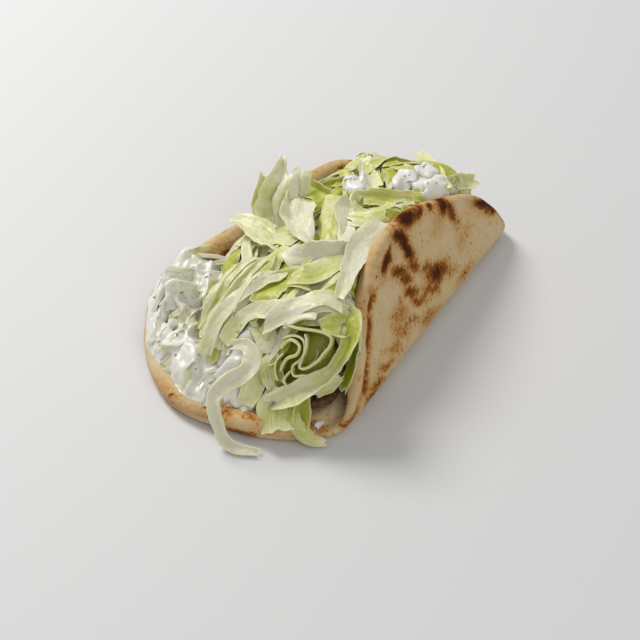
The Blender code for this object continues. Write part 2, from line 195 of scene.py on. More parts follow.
def bread_points(edge, p, q, upper):
    """The folded place, the browning and the crumb coordinates of points of one face of the bread."""
    here = flat_at(p, q, 9.0 * upper)
    swell = ease(edge / 6.0)
    if upper:
        brown = browning(p, q, INNER_BLISTERS)
        height = upper_face(edge, p, q) + 0.45 * rough(here, 8.0, 5) + 0.22 * rough(here, 3.2, 6)
        crease = np.exp(-((edge - 13.0 - 2.0 * rough(here, 16.0, 7)) / 2.6) ** 2) * ease((60.0 - np.abs(q - 10.0)) / 30.0)
        height = height - 1.3 * crease * (p < 0)
    else:
        brown = browning(p, q, OUTER_BLISTERS)
        line = line_distance(p + 1.5 * rough(here, 9.0, 8), q + 1.5 * rough(here, 9.0, 9), FLAP_LINE)
        brown = np.maximum(brown, 0.6 * np.exp(-(line / 2.6) ** 2) * (0.45 + 0.55 * ease(0.5 + 1.4 * rough(here, 7.0, 17))))
        stands = ease((p - FOLD_START - 6.0) / 10.0)
        bumps = 0.55 * rough(here, 9.0, 10) + 0.3 * rough(here, 4.0, 11) + 0.5 * brown * rough(here, 5.0, 12)
        height = lower_face(edge) - stands * swell * bumps + (1.0 - stands) * swell * 0.12 * (1.0 + rough(here, 6.0, 13))
        height = height + stands * 1.2 * np.exp(-(line / 2.0) ** 2)
        brown = np.maximum(brown, (1.0 - stands) * 0.5 * ease(1.4 * rough(here, 13.0, 14) - 0.2))
    rim = 0.17 * ease(1.0 - edge / 9.0) * ease(0.6 + 1.2 * rough(here, 15.0, 15))
    brown = np.maximum(brown, rim)
    return bend(p, q, height), brown, here


def add_mesh(name, points, faces, finish=None, crisp=180.0, **marks):
    """A smooth mesh piece in metres, with edges sharper than crisp degrees kept; marks are numbers for its finish."""
    mesh = bpy.data.meshes.new(name)
    mesh.from_pydata((np.asarray(points, float) * MM).tolist(), [], faces)
    mesh.validate()
    for mark, values in marks.items():
        values = np.asarray(values, np.float32)
        kind = "FLOAT" if values.ndim == 1 else "FLOAT_VECTOR"
        layer = mesh.attributes.new(mark, kind, "POINT")
        layer.data.foreach_set("value" if values.ndim == 1 else "vector", values.ravel())
    mesh.shade_smooth()
    if crisp < 180.0:
        mesh.set_sharp_from_angle(angle=math.radians(crisp))
    piece = bpy.data.objects.new(name, mesh)
    bpy.context.scene.collection.objects.link(piece)
    if finish:
        mesh.materials.append(finish)
    return piece


class Socket:
    """One output of a shader node; sums on it add Math nodes to its material."""

    def __init__(self, tree, output):
        self.tree, self.output = tree, output

    def math(self, operation, first, second):
        return Finish.add(self.tree, "ShaderNodeMath", {"operation": operation}, {0: first, 1: second})

    def __add__(self, other):
        return self.math("ADD", self, other)

    def __sub__(self, other):
        return self.math("SUBTRACT", self, other)

    def __rsub__(self, other):
        return self.math("SUBTRACT", other, self)

    def __mul__(self, other):
        return self.math("MULTIPLY", self, other)

    __radd__, __rmul__ = __add__, __mul__


class Finish:
    """A material and the one way of adding a node to it: its type, its settings, then its sockets."""

    def __init__(self, name):
        self.material = bpy.data.materials.new(name)
        self.material.use_nodes = True
        self.tree = self.material.node_tree
        self.shader = self.tree.nodes["Principled BSDF"]

    @staticmethod
    def add(tree, kind, settings=None, sockets=None, out=0):
        made = tree.nodes.new(kind)
        for name, setting in (settings or {}).items():
            if name == "stops":
                ramp = made.color_ramp.elements
                while len(ramp) < len(setting):
                    ramp.new(0.5)
                for element, (place, colour) in zip(ramp, setting):
                    element.position = place
                    element.color = (*colour, 1.0)
            else:
                setattr(made, name, setting)
        for name, given in (sockets or {}).items():
            if isinstance(given, Socket):
                tree.links.new(given.output, made.inputs[name])
            else:
                made.inputs[name].default_value = given
        return Socket(tree, made.outputs[out])

    def node(self, kind, settings=None, sockets=None, out=0):
        return Finish.add(self.tree, kind, settings, sockets, out)

    def mark(self, name, out="Fac"):
        return self.node("ShaderNodeAttribute", {"attribute_name": name}, {}, out)

    def grain(self, at, scale, detail=3.0, rough=0.55):
        return self.node("ShaderNodeTexNoise", {}, {"Vector": at, "Scale": scale, "Detail": detail, "Roughness": rough})

    def ramp(self, value, *stops):
        return self.node("ShaderNodeValToRGB", {"stops": stops}, {"Fac": value})

    def step(self, value, low, high):
        sockets = {"Value": value, "From Min": low, "From Max": high}
        return self.node("ShaderNodeMapRange", {"interpolation_type": "SMOOTHSTEP"}, sockets)

    def mix(self, factor, first, second, blend="MIX"):
        return self.node("ShaderNodeMix", {"data_type": "RGBA", "blend_type": blend}, {0: factor, 6: first, 7: second}, 2)

    def bump(self, height, strength, distance, under=None):
        sockets = {"Height": height, "Strength": strength, "Distance": distance}
        if under is not None:
            sockets["Normal"] = under
        return self.node("ShaderNodeBump", {}, sockets)

    def surface(self, **sockets):
        for name, given in sockets.items():
            socket = self.shader.inputs[name.replace("_", " ")]
            if isinstance(given, Socket):
                self.tree.links.new(given.output, socket)
            else:
                socket.default_value = given
        return self.material


def baked_bread():
    """Soft wheat dough: cream where it stayed pale, golden to dark brown where it blistered on the griddle."""
    crust = Finish("baked_bread")
    at = crust.mark("crumb_at", "Vector")
    brown = crust.mark("browning")
    fine, coarse = crust.grain(at, 0.55, 4.0, 0.6), crust.grain(at, 0.11, 3.0)
    freckles = crust.step(crust.grain(at, 0.42, 2.0, 0.5), 0.57, 0.72) * crust.step(coarse, 0.42, 0.62)
    depth = brown + (fine - 0.5) * 0.9 * crust.step(brown, 0.02, 0.35)
    depth = depth + freckles * 0.34 + (coarse - 0.5) * 0.22 + 0.04
    colour = crust.ramp(depth, (0.0, (0.71, 0.56, 0.34)), (0.14, (0.67, 0.48, 0.24)), (0.30, (0.56, 0.30, 0.09)),
                        (0.50, (0.31, 0.10, 0.016)), (0.85, (0.068, 0.015, 0.003)))
    flour = crust.step(crust.grain(at, 0.3, 5.0, 0.65), 0.5, 0.75)
    colour = crust.mix(flour * 0.35 * (1 - crust.step(depth, 0.1, 0.4)), colour, (0.80, 0.72, 0.54, 1.0))
    pores = crust.grain(at, 1.1, 3.0, 0.6)
    relief = crust.bump(pores, 0.35, 0.0006, crust.bump(crust.grain(at, 0.3, 3.0), 0.45, 0.0012))
    return crust.surface(Base_Color=colour, Roughness=0.82 - 0.12 * crust.step(depth, 0.2, 0.6), Normal=relief,
                         Subsurface_Weight=0.1, Subsurface_Radius=(1.0, 0.6, 0.3), Subsurface_Scale=0.002,
                         Specular_IOR_Level=0.1)


def bake_bread():
    """The flat round as rings of points on both faces, bent round the filling."""
    angles = np.arange(BREAD_SECTORS) * 2.0 * math.pi / BREAD_SECTORS
    circle = flat_at(40.0 * np.cos(angles), 40.0 * np.sin(angles))
    wobble = 1.1 * rough(circle, 11.0, 20) + 0.45 * rough(circle, 4.0, 21)
    radii = rim_radius(angles)
    inner = (radii - RIM_WIDTH) * np.linspace(1.0, 0.0, BREAD_INNER_ROWS + 1)[1:-1, None]
    rows = np.vstack([radii - np.array(BREAD_RIM_STEPS, float)[:, None], inner])
    points, brown, places, faces = [], [], [], []
    starts = []
    for upper in (0, 1):
        edge = radii - rows
        spread = rows + wobble * ease(1.0 - edge / 16.0)
        p, q = spread * np.cos(angles), spread * np.sin(angles)
        placed, mark, here = bread_points(edge, p, q, upper)
        starts.append(len(points) * BREAD_SECTORS)
        first = upper
        points.extend(placed[first:])
        brown.extend(mark[first:])
        places.extend(here[first:])
        base = starts[upper]
        rings = [0] if upper else []
        rings += [base + k * BREAD_SECTORS for k in range(len(rows) - first)]
        for outer_ring, inner_ring in zip(rings, rings[1:]):
            for k in range(BREAD_SECTORS):
                after = (k + 1) % BREAD_SECTORS
                quad = (outer_ring + k, outer_ring + after, inner_ring + after, inner_ring + k)
                faces.append(quad if upper else quad[::-1])
        last = rings[-1]
        hub = 2 * len(rows) * BREAD_SECTORS - BREAD_SECTORS + upper
        for k in range(BREAD_SECTORS):
            corner = (last + k, last + (k + 1) % BREAD_SECTORS, hub)
            faces.append(corner if upper else corner[::-1])
    hubs = [bread_points(np.array([rows[0].mean()]), np.zeros(1), np.zeros(1), upper) for upper in (0, 1)]
    points = np.vstack([np.concatenate(points), *[hub[0] for hub in hubs]])
    brown = np.concatenate([np.concatenate(brown), *[hub[1] for hub in hubs]])
    places = np.vstack([np.concatenate(places), *[hub[2] for hub in hubs]])
    return add_mesh("folded_flatbread", points, faces, baked_bread(), browning=brown, crumb_at=places)


bread = bake_bread()
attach(bread, "root")
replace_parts(bread, "flatbread")

# ---------------------------------------------------------------------------------------------------------------
# The meat: two layers of gyro meat shaved thin from the spit, lying along the fold.
# ---------------------------------------------------------------------------------------------------------------
MEAT_THICK, MEAT_GAP, MEAT_ENDS = 5.0, 1.0, (-76.0, 90.0)
MEAT_LOWER, MEAT_UPPER = (-20.0, 25.0), (-13.0, 22.0)
MEAT_STATIONS, MEAT_ACROSS = 120, 30


def meat_sway(q):
    return 1.5 * np.sin(q / 15.0)


def shaved_meat():
    """Roasted beef and lamb: dark brown and mottled, with a thin film of fat."""
    meat = Finish("shaved_meat")
    at = meat.mark("crumb_at", "Vector")
    fibres = meat.grain(at, 0.35, 5.0, 0.65)
    colour = meat.ramp(fibres, (0.25, (0.045, 0.018, 0.009)), (0.5, (0.15, 0.062, 0.028)), (0.75, (0.32, 0.17, 0.09)))
    relief = meat.bump(meat.grain(at, 0.9, 4.0, 0.65), 0.7, 0.0012)
    return meat.surface(Base_Color=colour, Roughness=0.62 - 0.3 * fibres, Normal=relief)


def carve_slice(name, layer, edges, finish):
    inset = 2.0 + 5.0 * layer
    q = np.linspace(MEAT_ENDS[0] + inset, MEAT_ENDS[1] - inset, MEAT_STATIONS)[:, None]
    side = np.linspace(-1.0, 1.0, MEAT_ACROSS)[None, :]
    ends = np.minimum(q - MEAT_ENDS[0], MEAT_ENDS[1] - q)
    width = 0.5 * (edges[1] - edges[0]) * (0.6 + 0.4 * ease((ends + 4.0) / 14.0))
    ragged = 2.0 * rough(flat_at(30.0 * side, q, 5.0 * layer), 7.0, 30)
    p = 0.5 * (edges[0] + edges[1]) + meat_sway(q) + side * (width - 1.0 + np.minimum(ragged, 1.0))
    q = q + 0.0 * p
    floor = upper_face(edge_distance(p, q), p, q) + layer * MEAT_THICK + (layer + 1) * MEAT_GAP
    folds = 1.4 * rough(flat_at(p, q, layer), 9.0, 31) + 0.8 * rough(flat_at(p, q, layer), 3.5, 32)
    end = np.minimum(q - q.min(), q.max() - q)
    half = 0.5 * MEAT_THICK * np.sqrt(np.clip(1.0 - side ** 8, 0.0, 1.0)) * ease(0.35 + end / 4.0)
    upper = bend(p, q, floor + 0.5 * MEAT_THICK + half * (1.0 + 0.18 * folds))
    lower = bend(p, q, floor + 0.5 * MEAT_THICK - half * (0.9 - 0.1 * folds))
    rows, columns = q.shape
    points = np.concatenate([upper.reshape(-1, 3), lower.reshape(-1, 3)])
    return add_mesh(name, points, shell_faces(rows, columns), finish, crumb_at=points)


def shell_faces(rows, columns):
    """Faces of a closed sheet: its upper points in rows, then its lower points in the same order."""
    count = rows * columns
    grid = np.arange(count).reshape(rows, columns)
    top = np.stack([grid[:-1, :-1], grid[:-1, 1:], grid[1:, 1:], grid[1:, :-1]], axis=-1).reshape(-1, 4)
    rim = np.concatenate([grid[0, :-1], grid[:-1, -1], grid[-1, :0:-1], grid[:0:-1, 0]])
    after = np.roll(rim, -1)
    side = np.stack([rim, rim + count, after + count, after], axis=-1)
    return np.concatenate([top, top[:, ::-1] + count, side]).tolist()


meat_finish = shaved_meat()
for name, layer, edges in (("meat_slice_lower", 0, MEAT_LOWER), ("meat_slice_upper", 1, MEAT_UPPER)):
    meat = carve_slice("shaved_" + name, layer, edges, meat_finish)
    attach(meat, "root")
    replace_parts(meat, name)

# ---------------------------------------------------------------------------------------------------------------
# The salad's body: the closely packed lettuce that fills the fold, seen only between the shreds on top of it; its
# colour is darkened as painted shade.
# ---------------------------------------------------------------------------------------------------------------
HEAP_FLOOR, HEAP_LOW, HEAP_HIGH, HEAP_INSET = 6.0, 15.0, 52.0, 12.0
CORE_DROP = 7.0
CORE_STATIONS, CORE_ACROSS = 90, 70


def span(q, margin):
    """The least and the greatest p of the bread at that q, that far inside its rim."""
    p = np.arange(-115.0, 115.0, 0.5)
    inside = p[edge_distance(p, np.full_like(p, q)) > margin]
    return inside[0], inside[-1]


def meat_rise(p, q):
    across = np.clip((p - MEAT_LOWER[0] - meat_sway(q) + 4.5) / 3.0, 0.0, 1.0)
    along = np.clip((q + 80.0) / 3.0, 0.0, 1.0) * np.clip((95.0 - q) / 4.0, 0.0, 1.0)
    return (2.0 * MEAT_THICK + 2.0 * MEAT_GAP + 0.8) * across * along


def heap_top(x, y):
    """Height of the salad's uneven top over the table."""
    u, v = x - BREAD_MIDDLE[0], y - BREAD_MIDDLE[1]
    left = HEAP_LOW + 20.0 * ease((v - 6.0) / 70.0)
    body = left + (HEAP_HIGH - left) * ease((u + 100.0) / 108.0)
    body = body * (1.0 - 0.2 * ease((v - 25.0) / 45.0))
    near = 0.2 + 0.8 * ease((v + 92.0) / 46.0)
    far = ease((117.0 - v) / 34.0)
    lumps = 2.0 * np.sin(u / 7.0 + v / 19.0) * np.sin(v / 9.0 - u / 23.0) + 0.9 * np.sin(u / 4.6 - v / 5.3)
    return HEAP_FLOOR + (body - HEAP_FLOOR) * near * far + lumps


def sauce_edge(q):
    """p at which the sauce over the near left corner meets the lettuce."""
    return np.interp(q, (-104.0, -69.0, -52.0, -14.0, 4.0), (-16.0, -43.0, -54.0, -69.0, -108.0))


def flap_wall(y, z):
    """x of the flap's inner face at that y and height, where the bread stands there."""
    wall = np.interp(y, WALL_Y, np.arange(len(WALL_Y)))
    lower, share = np.floor(wall).astype(int), wall - np.floor(wall)
    column = np.clip(z / 1.0, 0.0, WALL.shape[1] - 1.001)
    base, part = np.floor(column).astype(int), column - np.floor(column)
    upper = np.minimum(lower + 1, len(WALL_Y) - 1)
    near = WALL[lower, base] * (1 - part) + WALL[lower, base + 1] * part
    far = WALL[upper, base] * (1 - part) + WALL[upper, base + 1] * part
    return near * (1 - share) + far * share


def measure_wall():
    """The flap's inner face as x at every millimetre of height, for each y along the fold."""
    ys = np.arange(-80.0, 106.0, 2.0)
    wall = np.full((len(ys), 70), 200.0)
    for row, y in enumerate(ys):
        q = y - BREAD_MIDDLE[1]
        right = span(q, 0.3)[1]
        if right < 34.0:
            continue
        p = np.linspace(30.0, right, 80)
        across = np.full_like(p, q)
        inner = bend(p, across, upper_face(edge_distance(p, across), p, across))
        rising = inner[np.argmax(inner[:, 0] > inner[:, 0].max() - 0.01):]
        wall[row] = np.interp(np.arange(70.0), rising[:, 2], rising[:, 0], left=200.0, right=200.0)
        wall[row, np.arange(70) < rising[0, 2]] = rising[0, 0]
    return ys, wall


WALL_Y, WALL = measure_wall()


class Pile:
    """The height of everything laid so far, on a grid of one millimetre over the table."""

    low = np.array([-90.0, -130.0])

    def __init__(self):
        self.height = np.zeros((190, 260))

    def raise_to(self, x, y, z):
        i = np.clip(np.round(np.ravel(x) - self.low[0]).astype(int), 0, 189)
        j = np.clip(np.round(np.ravel(y) - self.low[1]).astype(int), 0, 259)
        np.maximum.at(self.height, (i, j), np.ravel(z))

    def at(self, x, y):
        u = np.clip(x - self.low[0], 0.0, 188.999)
        v = np.clip(y - self.low[1], 0.0, 258.999)
        i, j = np.floor(u).astype(int), np.floor(v).astype(int)
        a, b = u - i, v - j
        h = self.height
        return (h[i, j] * (1 - a) + h[i + 1, j] * a) * (1 - b) + (h[i, j + 1] * (1 - a) + h[i + 1, j + 1] * a) * b


pile = Pile()
flat_p, flat_q = np.meshgrid(np.arange(-112.0, 27.0, 0.4), np.arange(-112.0, 118.0, 0.4))
on_bread = edge_distance(flat_p, flat_q) > 0.2
flat_p, flat_q = flat_p[on_bread], flat_q[on_bread]
lying = bend(flat_p, flat_q, upper_face(edge_distance(flat_p, flat_q), flat_p, flat_q))
pile.raise_to(lying[:, 0], lying[:, 1], lying[:, 2])


def pack_core():
    """Sections across the fold: a floor over bread and meat, and a crumpled top a little under the heap's."""
    rows_up, rows_down = [], []
    for q in np.linspace(-78.0, 96.0, CORE_STATIONS):
        y = BREAD_MIDDLE[1] + q
        left = max(span(q, 0.5 * min(2.0 * HEAP_INSET, 112.0 - q))[0], float(sauce_edge(q)) + 2.0) + 5.0
        p = np.linspace(left, 26.0, 60)
        across = np.full_like(p, q)
        rise = 2.0 + meat_rise(p, across)
        floor = bend(p, across, upper_face(edge_distance(p, across), p, across) + rise)
        x0 = floor[0, 0]
        x1 = float(np.min(flap_wall(np.full(30, y), np.linspace(12.0, 40.0, 30)))) - 4.0
        x1 = min(x1, floor[-1, 0] + 4.0, 38.0 + 0.9 * (q + 78.0))
        x = np.linspace(x0, x1, CORE_ACROSS)
        low = np.interp(x, floor[:, 0], floor[:, 2])
        crumple = 2.2 * rough(flat_at(x, y, 0.0), 11.0, 40) + 1.2 * rough(flat_at(x, y, 0.0), 4.5, 41)
        high = heap_top(x, np.full_like(x, y)) - CORE_DROP + crumple
        end = ease((x - x0) / 10.0) * ease((x1 - x) / 4.0)
        high = low + 0.4 + np.maximum(high - low - 0.4, 0.0) * end * float(ease((q + 79.0) / 10.0) * ease((97.0 - q) / 8.0))
        rows_up.append(np.stack([x, np.full_like(x, y), high], axis=-1))
        rows_down.append(np.stack([x, np.full_like(x, y), np.minimum(low, high - 0.3)], axis=-1))
    return np.array(rows_up), np.array(rows_down)


def crisp_lettuce(name, shade):
    """Iceberg lettuce: white at its ribs, pale to yellow green in its blades, moist and a little see-through; shade
    scales every colour, and below 1 it makes a darker copy of the material with painted shade.
    """
    leaf = Finish(name)
    at = leaf.mark("grain_at", "Vector")
    green = leaf.mark("greenness")
    cut = leaf.mark("cut_edge")
    mottle = leaf.grain(at, 0.16, 4.0, 0.6)
    veins = leaf.grain(leaf.node("ShaderNodeMapping", {}, {"Vector": at, "Scale": (0.07, 0.75, 1.0)}), 1.0, 4.0, 0.6)
    depth = green + (mottle - 0.5) * 0.5 + (veins - 0.5) * 0.75
    blade = ((0.0, (0.79, 0.77, 0.58)), (0.25, (0.71, 0.71, 0.36)), (0.5, (0.54, 0.56, 0.09)), (0.95, (0.38, 0.41, 0.012)))
    colour = leaf.ramp(depth, *((place, tuple(shade * part for part in tone)) for place, tone in blade))
    colour = leaf.mix(cut * 0.6, colour, (0.85 * shade, 0.84 * shade, 0.60 * shade, 1.0))
    blisters = leaf.node("ShaderNodeTexVoronoi", {"feature": "SMOOTH_F1"}, {"Vector": at, "Scale": 0.38, "Smoothness": 0.6})
    crumple = leaf.bump(leaf.grain(at, 0.2, 2.0, 0.5), 0.35, 0.0025)
    relief = leaf.bump(veins, 0.4, 0.0008, leaf.bump(blisters, 0.25, 0.0009, crumple))
    return leaf.surface(Base_Color=colour, Roughness=0.28 + 0.22 * mottle, Normal=relief, Subsurface_Weight=0.8,
                        Subsurface_Radius=(1.0, 1.0, 0.3), Subsurface_Scale=0.0009, Specular_IOR_Level=0.42)


core_up, core_down = pack_core()
core_points = np.concatenate([core_up.reshape(-1, 3), core_down.reshape(-1, 3)])
# The body's lettuce is a darker, deep green copy: shade 0.6 and greenness near 1 are painted shade for where it shows
# between the shreds.
core_painted_shade_green = 0.85 + 0.3 * rough(core_points, 9.0, 42)
salad_core = add_mesh("packed_lettuce", core_points, shell_faces(*core_up.shape[:2]), crisp_lettuce("packed_lettuce", 0.6),
                      grain_at=core_points, greenness=core_painted_shade_green, cut_edge=0.0 * core_painted_shade_green)
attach(salad_core, "root")
dense = np.array([core_up[:-1] * (1 - s) + core_up[1:] * s for s in (0.0, 0.33, 0.67)]).reshape(-1, 3)
pile.raise_to(dense[:, 0], dense[:, 1], dense[:, 2])

# ---------------------------------------------------------------------------------------------------------------
# The lettuce in the sauce: short shreds stirred into the yoghurt over the near left corner, coated with it.
# Each shred lies on what was laid before it.
# ---------------------------------------------------------------------------------------------------------------
SHRED_STEP = 1.6
SHRED_ACROSS = 9
SAUCE_ENDS, SAUCE_FILL = (-96.0, -8.0), 6.5


def smooth_line(points, step):
    """A smooth line through the given points, in even steps."""
    points = np.asarray(points, float)
    ends = np.concatenate([[2 * points[0] - points[1]], points, [2 * points[-1] - points[-2]]])
    line = []
    for a, b, c, d in zip(ends, ends[1:], ends[2:], ends[3:]):
        t = np.linspace(0.0, 1.0, 16, endpoint=False)[:, None]
        line.append(0.5 * (2 * b + (c - a) * t + (2 * a - 5 * b + 4 * c - d) * t ** 2 + (3 * b - a - 3 * c + d) * t ** 3))
    line = np.concatenate(line + [points[-1:]])
    run = np.concatenate([[0.0], np.cumsum(np.linalg.norm(np.diff(line, axis=0), axis=1))])
    wanted = np.linspace(0.0, run[-1], max(6, int(run[-1] / step)))
    return np.stack([np.interp(wanted, run, line[:, k]) for k in range(line.shape[1])], axis=-1)


def soften(field, along, across):
    """The field with a little of its neighbours mixed in, along and across a shred."""
    for _ in range(along):
        field = np.concatenate([field[:1], 0.25 * field[:-2] + 0.5 * field[1:-1] + 0.25 * field[2:], field[-1:]])
    for _ in range(across):
        middle = 0.25 * field[:, :-2] + 0.5 * field[:, 1:-1] + 0.25 * field[:, 2:]
        ends = [0.7 * field[:, :1] + 0.3 * field[:, 1:2], middle, 0.7 * field[:, -1:] + 0.3 * field[:, -2:-1]]
        field = np.concatenate(ends, axis=1)
    return field


def pleats(run, out, seed):
    """Long low folds along a shred, at that run along it and that far out from its middle."""
    return rough(flat_at(0.3 * run, out, 2.9 * seed), 3.4, 70)


class Shreds:
    """Shreds of one kind, gathered into one piece."""

    def __init__(self, name, finish):
        self.name, self.finish = name, finish
        self.points, self.faces, self.green, self.cut, self.grain = [], [], [], [], []
        self.count, self.number = 0, 0

    def keep(self, middle, thick, green, seed):
        """Adds one shred from the grid of its middle face, its thickness and its greenness along it."""
        rows, columns = middle.shape[:2]
        ahead = np.gradient(middle, axis=0)
        aside = np.gradient(middle, axis=1)
        out = np.cross(ahead, aside)
        out /= np.linalg.norm(out, axis=-1, keepdims=True) + 1e-9
        t = np.linspace(-1.0, 1.0, columns)[None, :]
        s = np.linspace(0.0, 1.0, rows)[:, None]
        end = np.minimum(s, 1.0 - s) * rows * SHRED_STEP
        half = 0.5 * thick * (1.0 - 0.45 * np.abs(t) ** 3) * (0.45 + 0.55 * ease(end / 2.5))
        shell = [middle + out * half[..., None], middle - out * half[..., None]]
        self.points.append(np.concatenate([face.reshape(-1, 3) for face in shell]))
        self.faces.append(np.array(shell_faces(rows, columns), dtype=object))
        run = np.concatenate([[0.0], np.cumsum(np.linalg.norm(np.diff(middle[:, columns // 2], axis=0), axis=1))])
        wide = np.linalg.norm(middle[:, -1] - middle[:, 0], axis=-1)
        grain = np.stack([run[:, None] + 0.0 * t, 0.5 * wide[:, None] * t, np.full((rows, columns), 9.7 * seed)], axis=-1)
        shade = np.interp(s, np.linspace(0.0, 1.0, len(green)), green) + 0.10 * rough(grain, 9.0, 60)
        cut = np.maximum(np.abs(t) ** 10 + 0.0 * s, 1.0 - ease(end / 1.8))
        for kept, value in ((self.green, shade), (self.cut, cut), (self.grain, grain.reshape(-1, 3))):
            kept.append(np.concatenate([value.reshape(-1, 3)] * 2 if value.ndim == 2 and value.shape[-1] == 3
                                       else [value.ravel()] * 2))
        self.faces[-1] = (self.faces[-1] + self.count).tolist()
        self.count += 2 * rows * columns

    def close(self):
        piece = add_mesh(self.name, np.concatenate(self.points), [f for faces in self.faces for f in faces], self.finish, 48.0,
                         greenness=np.concatenate(self.green), cut_edge=np.concatenate(self.cut),
                         grain_at=np.concatenate(self.grain))
        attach(piece, "root")
        return piece


def lay(kind, line, widths, roll=(0.0,), cup=0.0, ruffle=0.0, thick=0.7, green=(0.3,), seed=1.0, soft=3, room=99.0):
    """Drops a shred on the pile along a line in plan, unless it would lie more than that over the salad's top."""
    line = smooth_line(line, SHRED_STEP)
    rows = len(line)
    s = np.linspace(0.0, 1.0, rows)
    t = np.linspace(-1.0, 1.0, SHRED_ACROSS)[None, :]
    ahead = np.gradient(line, axis=0)
    ahead /= np.linalg.norm(ahead, axis=1, keepdims=True)
    side = np.stack([-ahead[:, 1], ahead[:, 0]], axis=-1)
    width = np.interp(s, np.linspace(0.0, 1.0, len(widths)), widths)
    ragged = rough(flat_at(s[:, None] * rows * SHRED_STEP, 40.0 * np.sign(t), 3.1 * seed), 7.0, 61)
    ragged = ragged + 0.45 * rough(flat_at(s[:, None] * rows * SHRED_STEP, 40.0 * np.sign(t), 3.1 * seed), 2.6, 65)
    tilt = np.radians(np.interp(s, np.linspace(0.0, 1.0, len(roll)), roll))[:, None]
    out = 0.5 * width[:, None] * t * (1.0 + 0.16 * ragged)
    ridge = 0.6 * math.sin(11.0 * seed)
    rise = cup * width[:, None] * (0.55 * t ** 2 + 0.75 * np.abs(t - ridge) - 0.5)
    wave = rough(flat_at(s[:, None] * rows * SHRED_STEP, 6.0 * t, 5.7 * seed), 6.5, 62)
    wave = wave + 0.4 * rough(flat_at(s[:, None] * rows * SHRED_STEP, 5.0 * t, 5.7 * seed), 2.8, 66)
    rise = rise + ruffle * (wave * (0.35 + 0.65 * np.abs(t)) + 0.5 * pleats(s[:, None] * rows * SHRED_STEP, out, seed))
    across = out * np.cos(tilt) - rise * np.sin(tilt)
    up = out * np.sin(tilt) + rise * np.cos(tilt)
    cut = np.clip(1.0 - s * rows * SHRED_STEP / 6.0, 0.0, 1.0)[:, None] * math.sin(5.0 * seed)
    cut = cut - np.clip(1.0 - (1.0 - s) * rows * SHRED_STEP / 6.0, 0.0, 1.0)[:, None] * math.sin(8.0 * seed)
    slant = 0.45 * cut * out + 2.6 * np.abs(cut) * rough(flat_at(0.0 * s[:, None], 9.0 * t, 6.1 * seed), 4.0, 71)
    x = line[:, :1] + side[:, :1] * across + ahead[:, :1] * slant
    y = line[:, 1:] + side[:, 1:] * across + ahead[:, 1:] * slant
    need = pile.at(x, y) + 0.25 + 0.5 * thick - up
    steep = np.abs(np.sin(tilt))
    need = need * (1.0 - steep) + need.max(axis=1, keepdims=True) * steep
    rest = soften(need, soft, 2)
    for _ in range(7):
        rest = soften(np.maximum(rest, need), soft, 1)
    z = np.maximum(rest, need - 0.5) + up
    if np.max(z - heap_top(x, y)) > room:
        return None
    x = np.minimum(x, flap_wall(y, z) - 1.2)
    middle = np.stack([x, y, z], axis=-1)
    kind.keep(middle, thick, green, seed)
    fine = np.concatenate([middle[:-1] * (1 - k) + middle[1:] * k for k in (0.0, 0.5)])
    fine = np.concatenate([fine[:, :-1] * (1 - k) + fine[:, 1:] * k for k in (0.0, 0.5)], axis=1)
    pile.raise_to(fine[..., 0], fine[..., 1], fine[..., 2] + 0.5 * thick)
    return middle


def coated_lettuce():
    """Shreds under a film of yoghurt: white where it clings, pale green where it has run off."""
    coat = Finish("sauce_coated_lettuce")
    at, green = coat.mark("grain_at", "Vector"), coat.mark("greenness")
    film = coat.grain(at, 0.13, 4.0, 0.6)
    colour = coat.mix(coat.step(film + green * 0.35, 0.5, 0.85), (0.85, 0.84, 0.76, 1.0), (0.74, 0.73, 0.44, 1.0))
    relief = coat.bump(coat.grain(at, 0.45, 4.0, 0.6), 0.4, 0.001)
    return coat.surface(Base_Color=colour, Roughness=0.25 + 0.25 * film, Normal=relief, Subsurface_Weight=0.6,
                        Subsurface_Radius=(1.0, 0.95, 0.6), Subsurface_Scale=0.0015, Coat_Weight=0.2, Coat_Roughness=0.15)


def sauce_left(q):
    """The sauce's uneven left edge, a little inside the rim of the bread."""
    return span(q, 1.2 + 3.6 * ease((-74.0 - q) / 12.0))[0] + 1.5 * float(rough(np.array([0.0, q, 0.0]), 6.0, 50))


def sauce_right(q):
    """Where the sauce ends under the lettuce, and at the near end over the bread."""
    return np.interp(q, (-98.0, -93.0, -84.0, -76.0, -66.0, -52.0, -14.0, 4.0), (-22.0, -9.0, -4.0, -6.0, -34.0, -49.0, -64.0, -100.0))


def sauce_ground():
    """The bread under the sauce as a grid of points, and how far each is from the sauce's edges."""
    q = np.linspace(*SAUCE_ENDS, 190)[:, None]
    first = np.array([sauce_left(float(row[0])) for row in q])[:, None]
    last = np.maximum(sauce_right(q), first + 6.0)
    p = first + (last - first) * np.linspace(0.0, 1.0, 130)
    q = q + 0.0 * p
    ground = bend(p, q, upper_face(edge_distance(p, q), p, q))
    inside = np.minimum(np.minimum(p - first, (last - p) * 0.8), np.minimum(q - SAUCE_ENDS[0], SAUCE_ENDS[1] - q))
    return p, q, ground, inside


